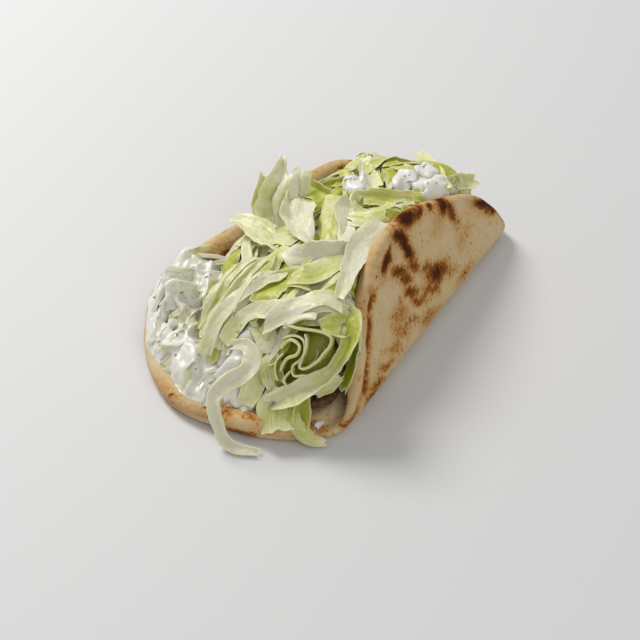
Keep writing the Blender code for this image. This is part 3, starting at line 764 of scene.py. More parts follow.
sauce_p, sauce_q, ground, sauce_inside = sauce_ground()
fill = SAUCE_FILL * ease((sauce_inside - 1.0) / 14.0) * (1.0 - 0.5 * ease((sauce_q + 40.0) / 30.0))
pile.raise_to(ground[..., 0], ground[..., 1], ground[..., 2] + fill)
coated = Shreds("sauce_coated_shreds", coated_lettuce())
stirred = np.random.default_rng(21)
for number in range(85):
    q = stirred.uniform(-94.0, -12.0)
    p = stirred.uniform(sauce_left(q) + 4.0, float(sauce_right(q)) - 2.0)
    x, y = bend(np.array([p]), np.array([q]), np.array([8.0]))[0, :2]
    turn, length = math.radians(stirred.uniform(20.0, 120.0)), stirred.uniform(9.0, 26.0)
    reach = np.linspace(-0.5, 0.5, 4) * length
    sway = stirred.uniform(-0.3, 0.3) * length * (1.0 - (2.0 * reach / length) ** 2)
    line = np.stack([x + reach * math.cos(turn) - sway * math.sin(turn), y + reach * math.sin(turn) + sway * math.cos(turn)], -1)
    u, v = line[:, 0] - BREAD_MIDDLE[0], line[:, 1] - BREAD_MIDDLE[1]
    line = line[edge_distance(u, v) > 4.0]
    if len(line) > 2:
        lay(coated, line, (stirred.uniform(2.0, 4.5), stirred.uniform(2.5, 6.0), 2.5), (stirred.uniform(-70.0, 70.0),), 0.25, 0.8,
            0.9, (stirred.uniform(0.0, 0.9),), number + 0.6, 4)
coated.close()

# ---------------------------------------------------------------------------------------------------------------
# The yoghurt sauce: thick strained yoghurt with grated cucumber, spooned over the near left corner of the bread.
# It fills between the shreds stirred into it and thins out over their tops.
# ---------------------------------------------------------------------------------------------------------------
def yoghurt():
    """Strained yoghurt: a cool near-white with a wet gloss; the cucumber's juice tints its thin places."""
    sauce = Finish("yoghurt_sauce")
    at = sauce.mark("grain_at", "Vector")
    thin = sauce.mark("thinness")
    cloud = sauce.grain(at, 0.12, 4.0, 0.6)
    colour = sauce.mix(sauce.step(thin + (cloud - 0.5) * 0.9, 0.15, 0.85), (0.87, 0.86, 0.79, 1.0), (0.74, 0.72, 0.46, 1.0))
    relief = sauce.bump(sauce.grain(at, 0.5, 4.0, 0.6), 0.35, 0.001)
    return sauce.surface(Base_Color=colour, Roughness=0.22 + 0.25 * cloud, Normal=relief, Subsurface_Weight=0.4,
                         Subsurface_Radius=(1.0, 0.95, 0.8), Subsurface_Scale=0.003, Coat_Weight=0.3, Coat_Roughness=0.12)


def closed_sheets(name, sheets, finish):
    """Closed sheets gathered into one piece; each is its upper points, its lower points and how thin it is."""
    points, faces, thinness, count = [], [], [], 0
    for ups, downs, thins in sheets:
        points += [ups.reshape(-1, 3), downs.reshape(-1, 3)]
        faces += (np.array(shell_faces(*ups.shape[:2])) + count).tolist()
        thinness += [thins.ravel(), thins.ravel()]
        count += 2 * thins.size
    points = np.concatenate(points)
    piece = add_mesh(name, points, faces, finish, grain_at=points, thinness=np.concatenate(thinness))
    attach(piece, "root")
    return piece


# Places where the bread shows through the sauce, as p, q and half their size.
SAUCE_GAPS = ((-79, -54, 2.2), (-69, -58, 3.2), (-64, -64, 1.4), (-57, -82, 2.0), (-52, -88, 1.6), (-13, -93, 3.5), (-19, -92, 2.2))


def spread_near_sauce():
    """The sheet of sauce: a film over the softened pile of its shreds, down to the bread at its edges."""
    here = flat_at(sauce_p, sauce_q, 0.0)
    lying = np.maximum(pile.at(ground[..., 0], ground[..., 1]) - ground[..., 2], 0.0)
    bed = soften(lying, 12, 12)
    folded = rough(flat_at(0.8 * sauce_p + 0.4 * sauce_q, 0.35 * sauce_q - 0.7 * sauce_p, 3.0), 6.0, 58)
    film = 0.55 + 0.7 * rough(here, 8.0, 51) + 0.2 * rough(here, 3.6, 52) + 1.3 * np.exp(-(folded / 0.2) ** 2)
    top = (bed + film) * np.sqrt(np.clip(sauce_inside / 3.0, 0.0, 1.0))
    for at_p, at_q, half in SAUCE_GAPS:
        top = top - 9.0 * np.exp(-(((sauce_p - at_p) ** 2 + (sauce_q - at_q) ** 2) / half ** 2) ** 1.5)
    top = np.maximum(top, -0.3)
    thin = ease(0.6 + 0.5 * (lying - top)) + 0.65 * rough(here, 7.0, 53)
    return ground + UP * top[..., None], ground - UP * 0.6, thin


DISC = np.linspace(-1.0, 1.0, 41)
DISC_U, DISC_V = DISC[:, None] * np.sqrt(1.0 - 0.5 * DISC ** 2), DISC * np.sqrt(1.0 - 0.5 * DISC[:, None] ** 2)


def drop_sauce(spot, half, heading, deep, seed):
    """A lumpy oval spoonful lying on whatever is piled up there; spot is from the middle of the bread."""
    reach = np.hypot(DISC_U, DISC_V)
    turn = np.stack([16.0 * DISC_U, 16.0 * DISC_V, 0.0 * reach + 9.0 * seed], axis=-1)
    uneven = 1.0 + 0.3 * reach * rough(turn, 9.0, 55) + 0.12 * reach * rough(turn, 4.0, 59)
    c, s = math.cos(math.radians(heading)), math.sin(math.radians(heading))
    x = BREAD_MIDDLE[0] + spot[0] + uneven * (half[0] * DISC_U * c - half[1] * DISC_V * s)
    y = BREAD_MIDDLE[1] + spot[1] + uneven * (half[0] * DISC_U * s + half[1] * DISC_V * c)
    below = pile.at(x, y)
    many = int(10.0 * 16.0 / (half[0] + half[1]))
    bed = soften(np.maximum(soften(below, many, many), below - 1.0), 6, 6)
    full = np.sqrt(np.clip(1.0 - reach ** 2, 0.0, 1.0))
    lumps = 0.6 + 0.4 * rough(flat_at(x, y, 5.0 * seed), 9.0, 56)
    lumps = lumps + 0.35 * np.exp(-(rough(flat_at(x, y, 4.0 * seed), 9.0, 57) / 0.25) ** 2)
    low = np.maximum(bed - 0.6, 0.1)
    ups = np.stack([x, y, np.maximum(bed + full * deep * (0.4 + 0.8 * lumps), low + 0.05)], axis=-1)
    downs = np.stack([x, y, low], axis=-1)
    pile.raise_to(x, y, ups[..., 2])
    return ups, downs, 0.3 - 0.4 * full + 0.4 * rough(ups, 7.0, 60)


UP = np.array([0.0, 0.0, 1.0])
yoghurt_finish = yoghurt()
near_sheet = spread_near_sauce()
pile.raise_to(near_sheet[0][..., 0], near_sheet[0][..., 1], near_sheet[0][..., 2])
spooned = [near_sheet, drop_sauce((-25, -66), (10, 7), 75, 2.4, 61), drop_sauce((-22, -76), (10, 7), 70, 2.4, 62),
           drop_sauce((-33, -62), (9, 6), 60, 2.4, 63), drop_sauce((28.5, -75.5), (5.5, 2.6), 55, 1.0, 64),
           drop_sauce((-15, -84), (7, 6), 20, 1.8, 65)]
near_sauce = closed_sheets("yoghurt_over_near_corner", spooned, yoghurt_finish)
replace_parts(near_sauce, "tzatziki_near")

# ---------------------------------------------------------------------------------------------------------------
# The shreds: iceberg lettuce cut in strips, dropped on the salad so that each lies over those before it. Some
# stand on edge, and their cut edges show pale.
# ---------------------------------------------------------------------------------------------------------------
CURL_MIDDLE, CURL_REACH = (12.0, -66.0), 16.0


def hold(kind, path, widths, facings, cup=0.0, ruffle=0.0, thick=0.8, green=(0.3,), seed=1.0, across=SHRED_ACROSS):
    """A shred along a line in space, given from the middle of the bread; its flat side turns between the facings."""
    path = smooth_line(np.array(path, float), SHRED_STEP)
    path[:, :2] += BREAD_MIDDLE
    rows = len(path)
    s = np.linspace(0.0, 1.0, rows)
    t = np.linspace(-1.0, 1.0, across)[None, :, None]
    ahead = np.gradient(path, axis=0)
    ahead /= np.linalg.norm(ahead, axis=1, keepdims=True)
    facing = np.stack([np.interp(s, np.linspace(0.0, 1.0, len(facings)), [f[k] for f in facings]) for k in range(3)], -1)
    side = np.cross(ahead, facing)
    side /= np.linalg.norm(side, axis=1, keepdims=True)
    out = np.cross(side, ahead)
    width = np.interp(s, np.linspace(0.0, 1.0, len(widths)), widths)
    width = width[:, None, None]
    run = s[:, None] * rows * SHRED_STEP
    ragged = rough(flat_at(run, 40.0 * np.sign(t[..., 0]), 2.3 * seed), 7.0, 63)
    ragged = (ragged + 0.5 * rough(flat_at(run, 40.0 * np.sign(t[..., 0]), 2.3 * seed), 2.6, 68))[..., None]
    wave = rough(flat_at(run, 6.0 * t[..., 0], 4.1 * seed), 6.5, 64)
    wave = (wave + 0.4 * rough(flat_at(run, 5.0 * t[..., 0], 4.1 * seed), 2.8, 69))[..., None]
    ridge = 0.5 * math.sin(11.0 * seed)
    folds = pleats(run, 0.5 * width[..., 0] * t[..., 0], seed)[..., None]
    rise = cup * width * (0.6 * t ** 2 + 0.7 * np.abs(t - ridge) - 0.5) + ruffle * (wave * (0.35 + 0.65 * np.abs(t)) + 0.6 * folds)
    middle = path[:, None] + 0.5 * width * t * (1.0 + 0.2 * ragged) * side[:, None] + rise * out[:, None]
    near_end = np.exp(-np.minimum(run, run[-1] - run) / 3.0) * np.sign(s[:, None] - 0.5)
    jag = 3.0 * near_end * rough(flat_at(0.0 * run, 9.0 * t[..., 0], 6.1 * seed), 3.6, 71)
    middle = middle + jag[..., None] * ahead[:, None]
    middle[..., 2] = np.maximum(middle[..., 2], 0.5 * thick + 0.25)
    kind.keep(middle, thick, green, seed)
    pile.raise_to(middle[..., 0], middle[..., 1], middle[..., 2] + 0.5 * thick)
    return middle


def strew(kind, count, seed, room, lengths, widths, rolls, greens, region=(-60.0, 40.0), spread=24.0):
    """Drops shreds one by one where the pile is lowest under the salad's top; they flow along the fold."""
    dice = np.random.default_rng(seed)
    for number in range(count):
        x, y = dice.uniform(-52.0, 48.0, 60), dice.uniform(-72.0, 98.0, 60)
        u, v = x - BREAD_MIDDLE[0], y - BREAD_MIDDLE[1]
        inside = (edge_distance(u, v) > 14.0) & (u > sauce_edge(v) + 7.0) & (x < flap_wall(y, pile.at(x, y)) - 5.0)
        inside &= np.hypot(u - CURL_MIDDLE[0], v - CURL_MIDDLE[1]) > CURL_REACH
        inside &= ~((u < -44.0) & (v > 55.0)) & ~((u < -12.0) & (v < -60.0)) & (u > region[0]) & (u < region[1])
        want = np.where(inside, heap_top(x, y) - room - pile.at(x, y), -99.0)
        best = int(np.argmax(want))
        if want[best] < 0.0:
            continue
        length = dice.uniform(*lengths)
        flow = 94.0 - 46.0 * ease((u[best] + 55.0) / 55.0)
        turn = math.radians(flow + dice.normal(0.0, spread))
        bow = dice.uniform(-0.3, 0.3)
        reach = np.linspace(-0.5, 0.5, 6) * length
        sway = bow * length * (1.0 - (2.0 * reach / length) ** 2) + dice.normal(0.0, 0.03 * length, 6)
        line = np.stack([x[best] + reach * math.cos(turn) - sway * math.sin(turn),
                         y[best] + reach * math.sin(turn) + sway * math.cos(turn)], axis=-1)
        u, v = line[:, 0] - BREAD_MIDDLE[0], line[:, 1] - BREAD_MIDDLE[1]
        fits = (edge_distance(u, v) > 11.0) & (u > sauce_edge(v) - 2.0) & (v > -80.0)
        fits &= np.hypot(u - CURL_MIDDLE[0], v - CURL_MIDDLE[1]) > CURL_REACH - 5.0
        fits &= ~((u < -47.0) & (v > 52.0)) & ~((u < -57.0) & (v < -8.0)) & ~((u > -32.0) & (u < -14.0) & (v < -62.0))
        if fits.sum() < 3:
            continue
        line = line[fits]
        wide = dice.uniform(*widths)
        tilt = dice.uniform(*rolls) * dice.choice([-1.0, 1.0])
        green = dice.choice(greens) + np.array([0.0, dice.uniform(-0.2, 0.3), dice.uniform(-0.2, 0.2)])
        lay(kind, line, wide * dice.uniform(0.75, 1.1, 5), (tilt, tilt + dice.normal(0.0, 25.0)), dice.uniform(-0.16, 0.16),
            dice.uniform(0.7, 1.8), dice.choice([0.5, 0.6, 0.8, 1.2]), green, number + 0.37 * seed, room=3.5 - room)


def stand(kind, edge, depth, inward, thick=0.9, green=(0.6,), seed=1.0, flare=0.0):
    """A shred standing on edge: its outer cut edge follows the line, and it goes that deep into the salad."""
    edge = smooth_line(np.array(edge, float), 1.1)
    edge[:, :2] += BREAD_MIDDLE
    rows = len(edge)
    inward = np.array(inward, float) / np.linalg.norm(inward)
    ahead = np.gradient(edge, axis=0)
    lean = np.cross(inward, ahead / np.linalg.norm(ahead, axis=1, keepdims=True))
    t = np.linspace(0.0, 1.0, SHRED_ACROSS)[None, :, None]
    wave = rough(flat_at(np.arange(rows)[:, None] * 1.1, 5.0 * t[..., 0], 3.3 * seed), 5.0, 67)[..., None]
    middle = edge[:, None] + inward * depth * t + lean[:, None] * (flare * depth * t + 0.5 * wave)
    middle[..., 2] = np.maximum(middle[..., 2], 0.5 * thick + 0.25)
    kind.keep(middle, thick, green, seed)
    outer = middle[:, :3]
    pile.raise_to(outer[..., 0], outer[..., 1], outer[..., 2])
    return middle


SLOPE = (0.25, -0.72, 0.65)


def from_middle(*points):
    """Points in plan given from the middle of the bread."""
    return [(BREAD_MIDDLE[0] + u, BREAD_MIDDLE[1] + v) for u, v in points]


shred_finish = crisp_lettuce("lettuce_shreds", 1.0)
under_shreds = Shreds("lettuce_shreds_under", shred_finish)
# The lowest shreds get the greenest, darkest tones: green leaf, darkened further as painted shade for the crevices
# under the upper layers.
strew(under_shreds, 260, 3, 5.0, (26.0, 58.0), (5.0, 11.0), (10.0, 75.0), (0.5, 0.7, 0.85, 1.0), spread=50.0)
strew(under_shreds, 160, 8, 2.0, (40.0, 85.0), (5.0, 11.0), (0.0, 50.0), (0.05, 0.2, 0.35, 0.5, 0.7))
strew(under_shreds, 120, 5, 1.2, (45.0, 90.0), (3.5, 7.0), (0.0, 60.0), (0.05, 0.15, 0.3, 0.5), (-62.0, -18.0), 16.0)
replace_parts(under_shreds.close(), "lettuce")

# Leaf edges nested like a cut cabbage heart, standing on edge in the near slope of the salad.
curls = Shreds("lettuce_heart_curls", shred_finish)
IN = tuple(-part for part in SLOPE)
stand(curls, [(10, -63, 45), (12, -65, 43), (13, -68, 39), (12, -72, 33), (15, -72, 33), (20, -68, 37), (22, -63, 42),
              (22, -60, 46), (17, -60, 47), (7, -62, 46), (-3, -61, 43)], 11.0, IN, 1.8, (0.3, 0.5, 0.55), 1.3)
stand(curls, [(0, -69, 36), (2, -66, 39), (5, -66, 41), (9, -67, 40), (9, -70, 37), (5, -72, 34), (4, -76, 29)], 9.0, IN,
      1.9, (0.4, 0.6), 2.3)
stand(curls, [(-1, -65, 39), (5, -64, 42), (10, -65, 42), (12, -68, 38), (11, -71, 35), (9, -73, 32), (11, -75, 29),
              (16, -74, 31)], 9.0, IN, 1.6, (0.4, 0.6), 3.3)
stand(curls, [(2, -70, 35), (0, -73, 31), (1, -76, 27), (4, -78, 25)], 9.0, IN, 1.4, (0.5,), 4.3)
stand(curls, [(10, -73, 31), (8, -75, 29), (7, -78, 26), (10, -79, 24)], 8.0, IN, 1.5, (0.5,), 5.3)
stand(curls, [(-2, -62, 42), (5, -58, 48), (12, -57, 50)], 8.0, IN, 2.0, (-0.1,), 6.3, -0.6)
stand(curls, [(16, -62, 38), (17, -65, 35), (15, -68, 32)], 7.0, IN, 1.0, (0.8, 0.95), 7.3)
stand(curls, [(18, -60, 39), (20, -62, 36), (19, -65, 33)], 7.0, IN, 1.0, (0.8, 0.95), 8.3)
curls.close()

# The uppermost shreds, laid one by one over the heap.
laid = Shreds("lettuce_shreds_top", shred_finish)
hold(laid, [(17, -40, 48), (24, -44, 46), (28, -53, 42), (28, -61, 36), (24, -69, 29), (17, -75, 24), (10, -80, 19), (3, -85, 15)],
     (6, 10, 9, 7, 8, 10, 10, 8), ((0.3, -0.5, 0.9), (-0.3, -0.9, 0.6), (0.1, -0.7, 0.7)), 0.16, 1.1, 0.8,
     (0.3, 0.65, 0.5, 0.25, 0.1, 0.1), 1.7)
# This leaf in the gap by the flap is the deepest green: green leaf, darkened further as painted shade for the flap's
# shadow.
hold(laid, [(31, -51, 39), (33, -58, 32), (32, -65, 23)], (8, 9, 7), ((-0.6, -0.7, 0.3),), 0.1, 1.0, 0.7, (0.9, 1.0), 24.7)
hold(laid, [(20, -72, 20), (26, -68, 24), (30, -63, 28)], (6, 6, 3), ((0.1, -0.8, 0.6),), 0.2, 1.0, 0.7, (0.35, 0.2), 25.7)
lay(laid, from_middle((-6, -72), (-8, -80), (-8, -88)), (11, 12, 9), (0,), 0.08, 0.8, 0.7, (0.35, 0.2), 2.7)
hold(laid, [(-7, -69, 28.5), (-3, -73, 25), (1, -76, 21.5), (4, -78, 18)], (9, 12, 12, 9), ((0.1, -0.7, 0.7),), 0.15, 1.2, 0.8,
     (0.05, 0.3, 0.15), 30.7)
hold(laid, [(6, -78, 19), (7, -84, 14), (9, -89, 10.5), (12, -93, 9)], (15, 17, 18, 17), ((0.25, -0.75, 0.6),), -0.12, 1.3, 0.7,
     (0.2, 0.4, 0.3), 3.7, 15)
hold(laid, [(16, -77, 19), (19, -81, 15), (21, -86, 10), (22, -89, 7)], (7, 8, 8, 6), ((0.6, -0.6, 0.5),), 0.25, 1.0, 0.7, (0.75, 0.95, 0.6), 4.7)
lay(laid, from_middle((-21, -53), (-20, -44), (-15, -37), (-4, -35)), (14, 17, 12), (8,), 0.22, 1.0, 0.6, (0.6, 0.75, 0.5), 5.7)
lay(laid, from_middle((-14, -38), (-6, -32), (-1, -23), (3, -12)), (10, 13, 13, 10), (0,), 0.08, 0.7, 0.7, (0.35, 0.25), 6.7)
lay(laid, from_middle((-52, -1), (-41, -1), (-28, -5)), (9, 10, 9), (0,), 0.05, 0.6, 0.7, (0.25,), 7.7)
lay(laid, from_middle((-51, -60), (-52, -47), (-51, -34), (-56, -16)), (5, 6, 5), (10,), 0.15, 0.8, 0.7, (0.1, 0.25), 8.7)
lay(laid, from_middle((-45, -63), (-47, -55), (-46, -42), (-43, -32), (-53, -14), (-60, -3), (-58, 8), (-50, 17)), (4, 6, 6, 5, 6),
    (5,), 0.15, 0.9, 0.7, (0.05, 0.1, 0.2), 9.7)
lay(laid, from_middle((-43, -69), (-44, -60), (-42, -49), (-41, -39)), (5, 6, 6, 4), (15,), 0.15, 0.6, 0.7, (0.15,), 10.7)
lay(laid, from_middle((-49, -62), (-48, -45), (-46, -28), (-44, -18)), (4, 5, 5, 4), (35, 20), 0.2, 0.8, 0.6, (0.3, 0.1), 26.7)
lay(laid, from_middle((-40, -74), (-41, -62), (-40, -50), (-38, -36), (-38, -22)), (4, 5, 5, 5, 4), (30, 45, 20), 0.2, 0.8, 0.6,
    (0.0, 0.2, 0.1), 27.7)
lay(laid, from_middle((-33, -72), (-33, -57), (-31, -44), (-30, -29)), (4, 5, 5, 4), (40, 15), 0.2, 0.8, 0.6, (0.35, 0.15), 28.7)
lay(laid, from_middle((-28, -74), (-31, -60), (-29, -46), (-27, -34), (-32, -18)), (4, 5, 6, 5, 4), (30, 50, 30), 0.2, 0.9, 0.6,
    (0.05, 0.2, 0.4), 29.7)
hold(laid, [(-20, -57, 36), (-12, -62, 33), (-5, -67, 29)], (11, 11, 11), ((0.25, -0.65, 0.75),), 0.06, 0.5, 1.0, (0.5, 0.05, -0.1), 11.7)
lay(laid, from_middle((4, -53), (13, -46), (25, -39)), (5, 6, 5), (15,), 0.15, 0.5, 0.8, (0.15,), 12.7)
lay(laid, from_middle((27, -43), (22, -50), (15, -57)), (12, 12, 9), (10,), 0.12, 0.8, 0.7, (0.4, 0.5), 13.7)
lay(laid, from_middle((-38, -76), (-39, -64), (-36, -54), (-30, -46), (-24, -37), (-18, -30)), (7, 9, 10, 9, 7), (8,), 0.08, 0.8,
    0.8, (0.1, 0.05, 0.2), 14.7)
lay(laid, from_middle((-31, -70), (-28, -61), (-22, -56), (-14, -55), (-5, -53)), (8, 9, 9, 8), (10,), 0.1, 0.8, 0.7, (0.15, 0.2), 15.7)
lay(laid, from_middle((-14, -60), (-5, -55), (2, -49), (9, -43), (17, -42)), (9, 11, 12, 10), (5,), 0.08, 0.7, 0.8, (0.0, 0.1), 16.7)
lay(laid, from_middle((-19, 28), (-12, 14), (-2, -3)), (9, 10, 9), (0,), 0.06, 0.6, 0.9, (0.1, 0.0), 17.7)
lay(laid, from_middle((-19, 25), (-9, 27), (3, 34)), (12, 13, 11), (0,), 0.08, 0.8, 0.7, (0.4, 0.3), 18.7)
lay(laid, from_middle((-10, 14), (-1, 17), (7, 22)), (12, 13, 11), (0,), 0.06, 0.6, 0.7, (0.25, 0.3), 19.7)
lay(laid, from_middle((-27, 81), (-13, 75), (-3, 76)), (6, 8, 6), (20,), 0.15, 1.0, 0.7, (0.3, 0.4), 20.7)
lay(laid, from_middle((-37, 78), (-30, 68), (-18, 56)), (7, 8, 7), (15,), 0.15, 1.0, 0.7, (0.2,), 21.7)
lay(laid, from_middle((-5, 41), (2, 51), (10, 61)), (8, 9, 7), (10,), 0.1, 1.0, 0.7, (0.5, 0.4), 22.7)
lay(laid, from_middle((-46, 50), (-38, 52), (-33, 58)), (8, 9, 6), (20,), 0.2, 0.8, 0.7, (0.8, 0.7), 23.7)
lay(laid, from_middle((-24, 76), (-14, 86), (-3, 92)), (8, 10, 8), (10,), 0.15, 1.0, 0.7, (0.6, 0.4), 31.7)
lay(laid, from_middle((-14, 96), (0, 96), (12, 90)), (7, 9, 7), (15,), 0.15, 1.0, 0.7, (0.2, 0.4), 32.7)
lay(laid, from_middle((-6, 84), (6, 88), (18, 84)), (8, 11, 8), (-10,), 0.15, 1.0, 0.7, (0.5, 0.7), 33.7)
lay(laid, from_middle((2, 97), (14, 94), (21, 82)), (6, 8, 6), (20,), 0.15, 1.0, 0.7, (0.1, 0.2), 34.7)
lay(laid, from_middle((-30, 68), (-24, 84), (-15, 94)), (6, 9, 7), (-15,), 0.15, 1.0, 0.7, (0.35, 0.5), 35.7)
laid.close()

# The shreds that stand or hang clear of the heap, and the thick white rib.
free_shreds = Shreds("lettuce_shreds_free", shred_finish)
hold(free_shreds, [(-27, -17, 47), (-22, -20, 48), (-15, -20, 49.5), (-8, -17, 51), (-2, -11, 52), (1, -6, 53)],
     (8, 12, 13, 13, 12, 9), ((0.4, -0.6, 0.7),), 0.1, 0.35, 2.6, (-0.3, -0.2), 7.1)
hold(free_shreds, [(-24, -73, 30), (-19, -72, 32), (-14, -73, 32), (-10, -78, 29), (-11, -85, 27), (-15, -91, 25), (-18, -97, 21),
                   (-16, -102, 16), (-13, -104, 10), (-9, -106, 4), (-2, -106, 1.6), (7, -103, 1.2)],
     (4, 6, 8, 9, 9, 8, 6.5, 6, 5.5, 5.5, 5, 4), ((0.3, -0.8, 0.9), (0.2, -0.9, 0.7), (0.0, -0.5, 1.0)), 0.14, 0.5, 1.7,
     (-0.3, -0.25, -0.1), 1.1)
hold(free_shreds, [(12, -80, 16), (17, -86, 12), (22, -87, 8), (27, -86, 4), (32, -83, 3)],
     (5, 7, 8, 7, 4), ((0.2, -1.0, 0.8), (0.3, -0.7, 0.8)), -0.12, 1.0, 0.8, (0.4, 0.3), 2.1)
hold(free_shreds, [(-44, 0, 26), (-56, 14, 31), (-60, 21, 38), (-62, 30, 46), (-64, 40, 52)],
     (10, 14, 15, 11, 3), ((0.5, -0.75, 0.4),), 0.1, 2.8, 0.6, (0.35, 0.2, 0.0), 3.1, 19)
hold(free_shreds, [(-38, 4, 27), (-46, 16, 33), (-49, 24, 41), (-50, 33, 48), (-51, 38, 50)],
     (10, 14, 15, 14, 10), ((0.3, -0.75, 0.5),), -0.1, 2.8, 0.6, (0.4, 0.2, 0.05), 11.1, 19)
hold(free_shreds, [(-52, 8, 25), (-63, 19, 29), (-67, 27, 36), (-68, 33, 44)],
     (10, 13, 13, 10), ((0.7, -0.6, 0.4),), 0.1, 2.6, 0.6, (0.5, 0.3, 0.15), 12.1, 17)
hold(free_shreds, [(-42, 6, 26), (-51, 17, 37), (-53, 24, 45), (-56, 33, 50)],
     (9, 13, 13, 9), ((0.1, -0.9, 0.4),), -0.1, 2.6, 0.6, (0.25, 0.05), 13.1, 17)
hold(free_shreds, [(-54, 40, 38), (-42, 34, 42), (-32, 30, 45)], (8, 11, 8), ((0.2, -0.6, 0.8),), 0.3, 2.0, 0.6, (0.5, 0.75), 14.1, 13)
hold(free_shreds, [(-47, 30, 38), (-38, 25, 42), (-28, 26, 44)], (7, 9, 7), ((-0.2, -0.7, 0.7),), -0.3, 2.0, 0.6, (0.7, 0.5), 15.1, 13)
hold(free_shreds, [(-53, 36, 42), (-46, 23, 43), (-36, 8, 45), (-26, -2, 47), (-20, -7, 47)],
     (7, 13, 18, 14, 4), ((0.7, -0.5, 0.6), (0.4, -0.7, 0.7)), 0.18, 1.8, 0.8, (0.2, 0.0, -0.1), 8.1, 17)
hold(free_shreds, [(-12, -3, 47), (-18, 8, 48), (-25, 20, 48), (-31, 30, 47)],
     (13, 15, 14, 8), ((-0.25, -0.5, 0.85),), -0.2, 0.6, 0.7, (0.45, 0.35, 0.25), 10.1, 13)
hold(free_shreds, [(-5, 3, 49), (-12, 13, 50), (-18, 23, 50), (-20, 31, 49)],
     (8, 10, 10, 7), ((0.5, -0.4, 0.8),), 0.15, 0.7, 0.9, (-0.05, 0.0, 0.1), 16.1, 13)
hold(free_shreds, [(-24, 36, 45), (-14, 40, 46), (-3, 44, 47), (8, 49, 48)],
     (6, 9, 9, 7), ((0.2, -0.5, 0.8),), 0.2, 0.9, 0.7, (0.35, 0.45, 0.3), 17.1, 13)
hold(free_shreds, [(-18, 47, 42), (-24, 60, 40), (-30, 72, 37), (-38, 84, 33)],
     (7, 9, 9, 5), ((0.3, -0.3, 0.9),), 0.2, 1.0, 0.7, (-0.05, 0.1), 4.1, 13)
hold(free_shreds, [(-10, 58, 42), (-16, 70, 39), (-22, 82, 35)], (7, 9, 6), ((0.3, -0.3, 0.9),), 0.15, 1.0, 0.7, (0.0, -0.1), 18.1, 13)
hold(free_shreds, [(-32, 90, 29), (-20, 84, 34), (-11, 83, 36), (-2, 80, 38)], (4, 7, 8, 6), (UP,), 0.2, 1.0, 0.7, (0.4, 0.3), 19.1)
hold(free_shreds, [(-20, 108, 29), (-11, 98, 33), (-3, 88, 37), (8, 78, 40), (14, 72, 41)],
     (5, 8, 9, 8, 6), ((0.3, -0.4, 0.8),), 0.2, 1.1, 0.7, (0.15, 0.3), 20.1, 13)
hold(free_shreds, [(8, 74, 41), (13, 83, 37), (16, 94, 32), (17, 103, 28)],
     (6, 10, 10, 6), ((0.3, -0.4, 0.8),), 0.15, 1.0, 0.7, (0.3, 0.4), 5.1, 13)
hold(free_shreds, [(-44, 44, 38), (-38, 50, 39), (-34, 58, 38)], (5, 8, 5), ((0.2, -0.5, 0.8),), 0.2, 1.0, 0.7, (0.8, 0.7), 21.1)
hold(free_shreds, [(-36, -6, 37), (-46, -1, 34), (-56, 3, 33), (-66, 6, 32), (-76, 8, 29)],
     (9, 12, 13, 11, 5), (UP,), 0.14, 1.4, 0.7, (0.3, 0.1), 6.1, 13)
hold(free_shreds, [(15, -41, 52), (11, -25, 53), (8, -15, 53), (6, -5, 54), (7, 3, 54.5), (8, 11, 54.5), (7, 18, 54)],
     (5, 7, 9, 12, 13, 12, 9), ((0.3, -0.3, 0.9),), 0.1, 0.8, 0.8, (0.1, -0.05, -0.1), 9.1)
free_shreds.close()

# ---------------------------------------------------------------------------------------------------------------
# The sauce over the shreds: spoonfuls on the far end and a few dabs at the near end, with chopped dill and bits
# of cucumber skin in them.
# ---------------------------------------------------------------------------------------------------------------
def green_herb():
    """Chopped dill and cucumber skin: dark green, dulled by the yoghurt on it."""
    herb = Finish("chopped_dill")
    tone = herb.grain(herb.mark("grain_at", "Vector"), 0.8, 2.0)
    colour = herb.ramp(tone, (0.3, (0.10, 0.15, 0.09)), (0.5, (0.24, 0.32, 0.17)), (0.75, (0.42, 0.47, 0.33)))
    return herb.surface(Base_Color=colour, Roughness=0.5 - 0.2 * tone, Subsurface_Weight=0.2,
                        Subsurface_Radius=(0.6, 1.0, 0.4), Subsurface_Scale=0.0006)


def chop_herbs(name, places, seed):
    """Small flat slivers lying on the sauce at those points."""
    dice = np.random.default_rng(seed)
    points, faces = [], []
    for x, y, z in places:
        turn, long, wide = dice.uniform(0.0, math.pi), dice.uniform(0.6, 1.7), dice.uniform(0.3, 0.55)
        along = np.array([math.cos(turn), math.sin(turn), dice.uniform(-0.3, 0.3)])
        aside = np.array([-math.sin(turn), math.cos(turn), dice.uniform(-0.3, 0.3)])
        s = np.linspace(-1.0, 1.0, 7)[:, None, None]
        t = np.linspace(-1.0, 1.0, 3)[None, :, None]
        taper = np.sqrt(np.clip(1.04 - s ** 2, 0.0, 1.0))
        middle = np.array([x, y, z]) + long * s * along + wide * taper * t * aside + 0.3 * (1.0 - s ** 2) * UP
        thick = 0.16 * (1.2 - np.abs(t)) * taper * UP
        faces += (np.array(shell_faces(7, 3)) + len(points)).tolist()
        points += (middle + thick).reshape(-1, 3).tolist() + (middle - thick).reshape(-1, 3).tolist()
    piece = add_mesh(name, points, faces, green_herb(), grain_at=np.array(points))
    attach(piece, "root")


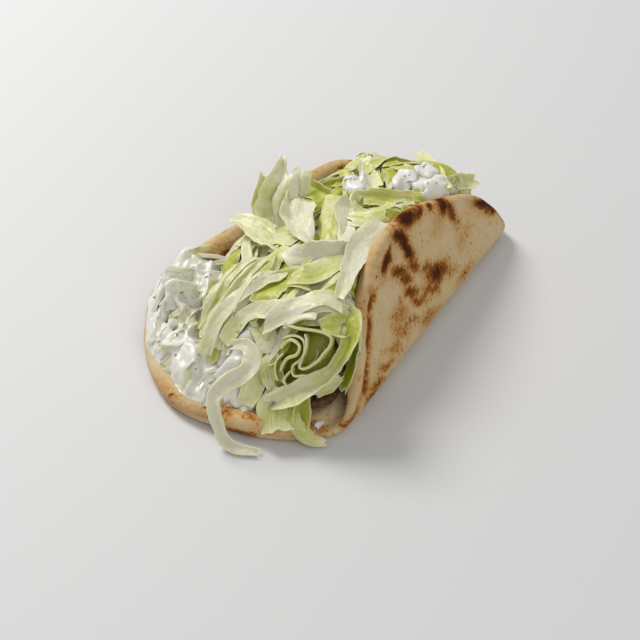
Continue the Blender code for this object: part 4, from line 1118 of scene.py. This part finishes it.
spoonfuls = [drop_sauce((-31, 56), (10, 6), 110, 3.4, 71), drop_sauce((-20, 49), (10, 6), 20, 2.6, 72),
             drop_sauce((-27, 48), (8, 5), 150, 2.4, 76), drop_sauce((1, 72), (13, 9), 30, 3.2, 73),
             drop_sauce((10, 68), (8, 6), 60, 2.6, 74), drop_sauce((-7, 66), (9, 6), 100, 2.2, 75),
             drop_sauce((-2, 80), (7, 6), 90, 3.0, 77)]
far_sauce = closed_sheets("yoghurt_on_far_end", spoonfuls, yoghurt_finish)
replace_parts(far_sauce, "tzatziki_far")
sprinkled = np.random.default_rng(31)
picked = [near_sheet[0][sprinkled.integers(15, 175), sprinkled.integers(12, 95)] for _ in range(16)]
for spoonful in spoonfuls + spooned[1:]:
    picked += [spoonful[0][sprinkled.integers(8, 32), sprinkled.integers(8, 32)] for _ in range(2)]
chop_herbs("chopped_dill", [(x, y, max(z, float(pile.at(np.array([x]), np.array([y]))[0]) - 0.4)) for x, y, z in picked], 32)

# ---------------------------------------------------------------------------------------------------------------
# The table, the window light and the camera.
# ---------------------------------------------------------------------------------------------------------------
def set_table():
    table = Finish("pale_table")
    colour = table.surface(Base_Color=(0.74, 0.74, 0.74, 1.0), Roughness=0.6)
    floor = add_mesh("table", [(-3000, -3000, -0.3), (3000, -3000, -0.3), (3000, 3000, -0.3), (-3000, 3000, -0.3)],
                     [(0, 1, 2, 3)], colour)


def soft_light(name, place, size, power, tint):
    lamp = bpy.data.lights.new(name, "AREA")
    lamp.shape, lamp.size, lamp.energy, lamp.color = "DISK", size, power, tint
    holder = bpy.data.objects.new(name, lamp)
    holder.location = place
    holder.rotation_euler = (-holder.location).to_track_quat("-Z", "Y").to_euler()
    bpy.context.scene.collection.objects.link(holder)


set_table()
soft_light("window", (-1.15, 0.45, 1.15), 0.7, 20.5, (1.0, 0.985, 0.96))
soft_light("bounce", (1.0, -0.6, 0.9), 1.2, 4.0, (1.0, 0.99, 0.98))
room = bpy.data.worlds.new("room")
room.use_nodes = True
room.node_tree.nodes["Background"].inputs["Color"].default_value = (0.98, 0.985, 1.0, 1.0)
room.node_tree.nodes["Background"].inputs["Strength"].default_value = 0.38
bpy.context.scene.world = room
bpy.context.scene.view_settings.view_transform = "Standard"

lens = bpy.data.cameras.new("camera")
lens.sensor_width, lens.lens = 36.0, 18.0 / math.tan(math.radians(11.0))
camera = bpy.data.objects.new("camera", lens)
camera.location = (0.32671, -0.54349, 0.55635)
camera.rotation_euler = (math.radians(48.0), 0.0, math.radians(30.3))
bpy.context.scene.collection.objects.link(camera)
bpy.context.scene.camera = camera
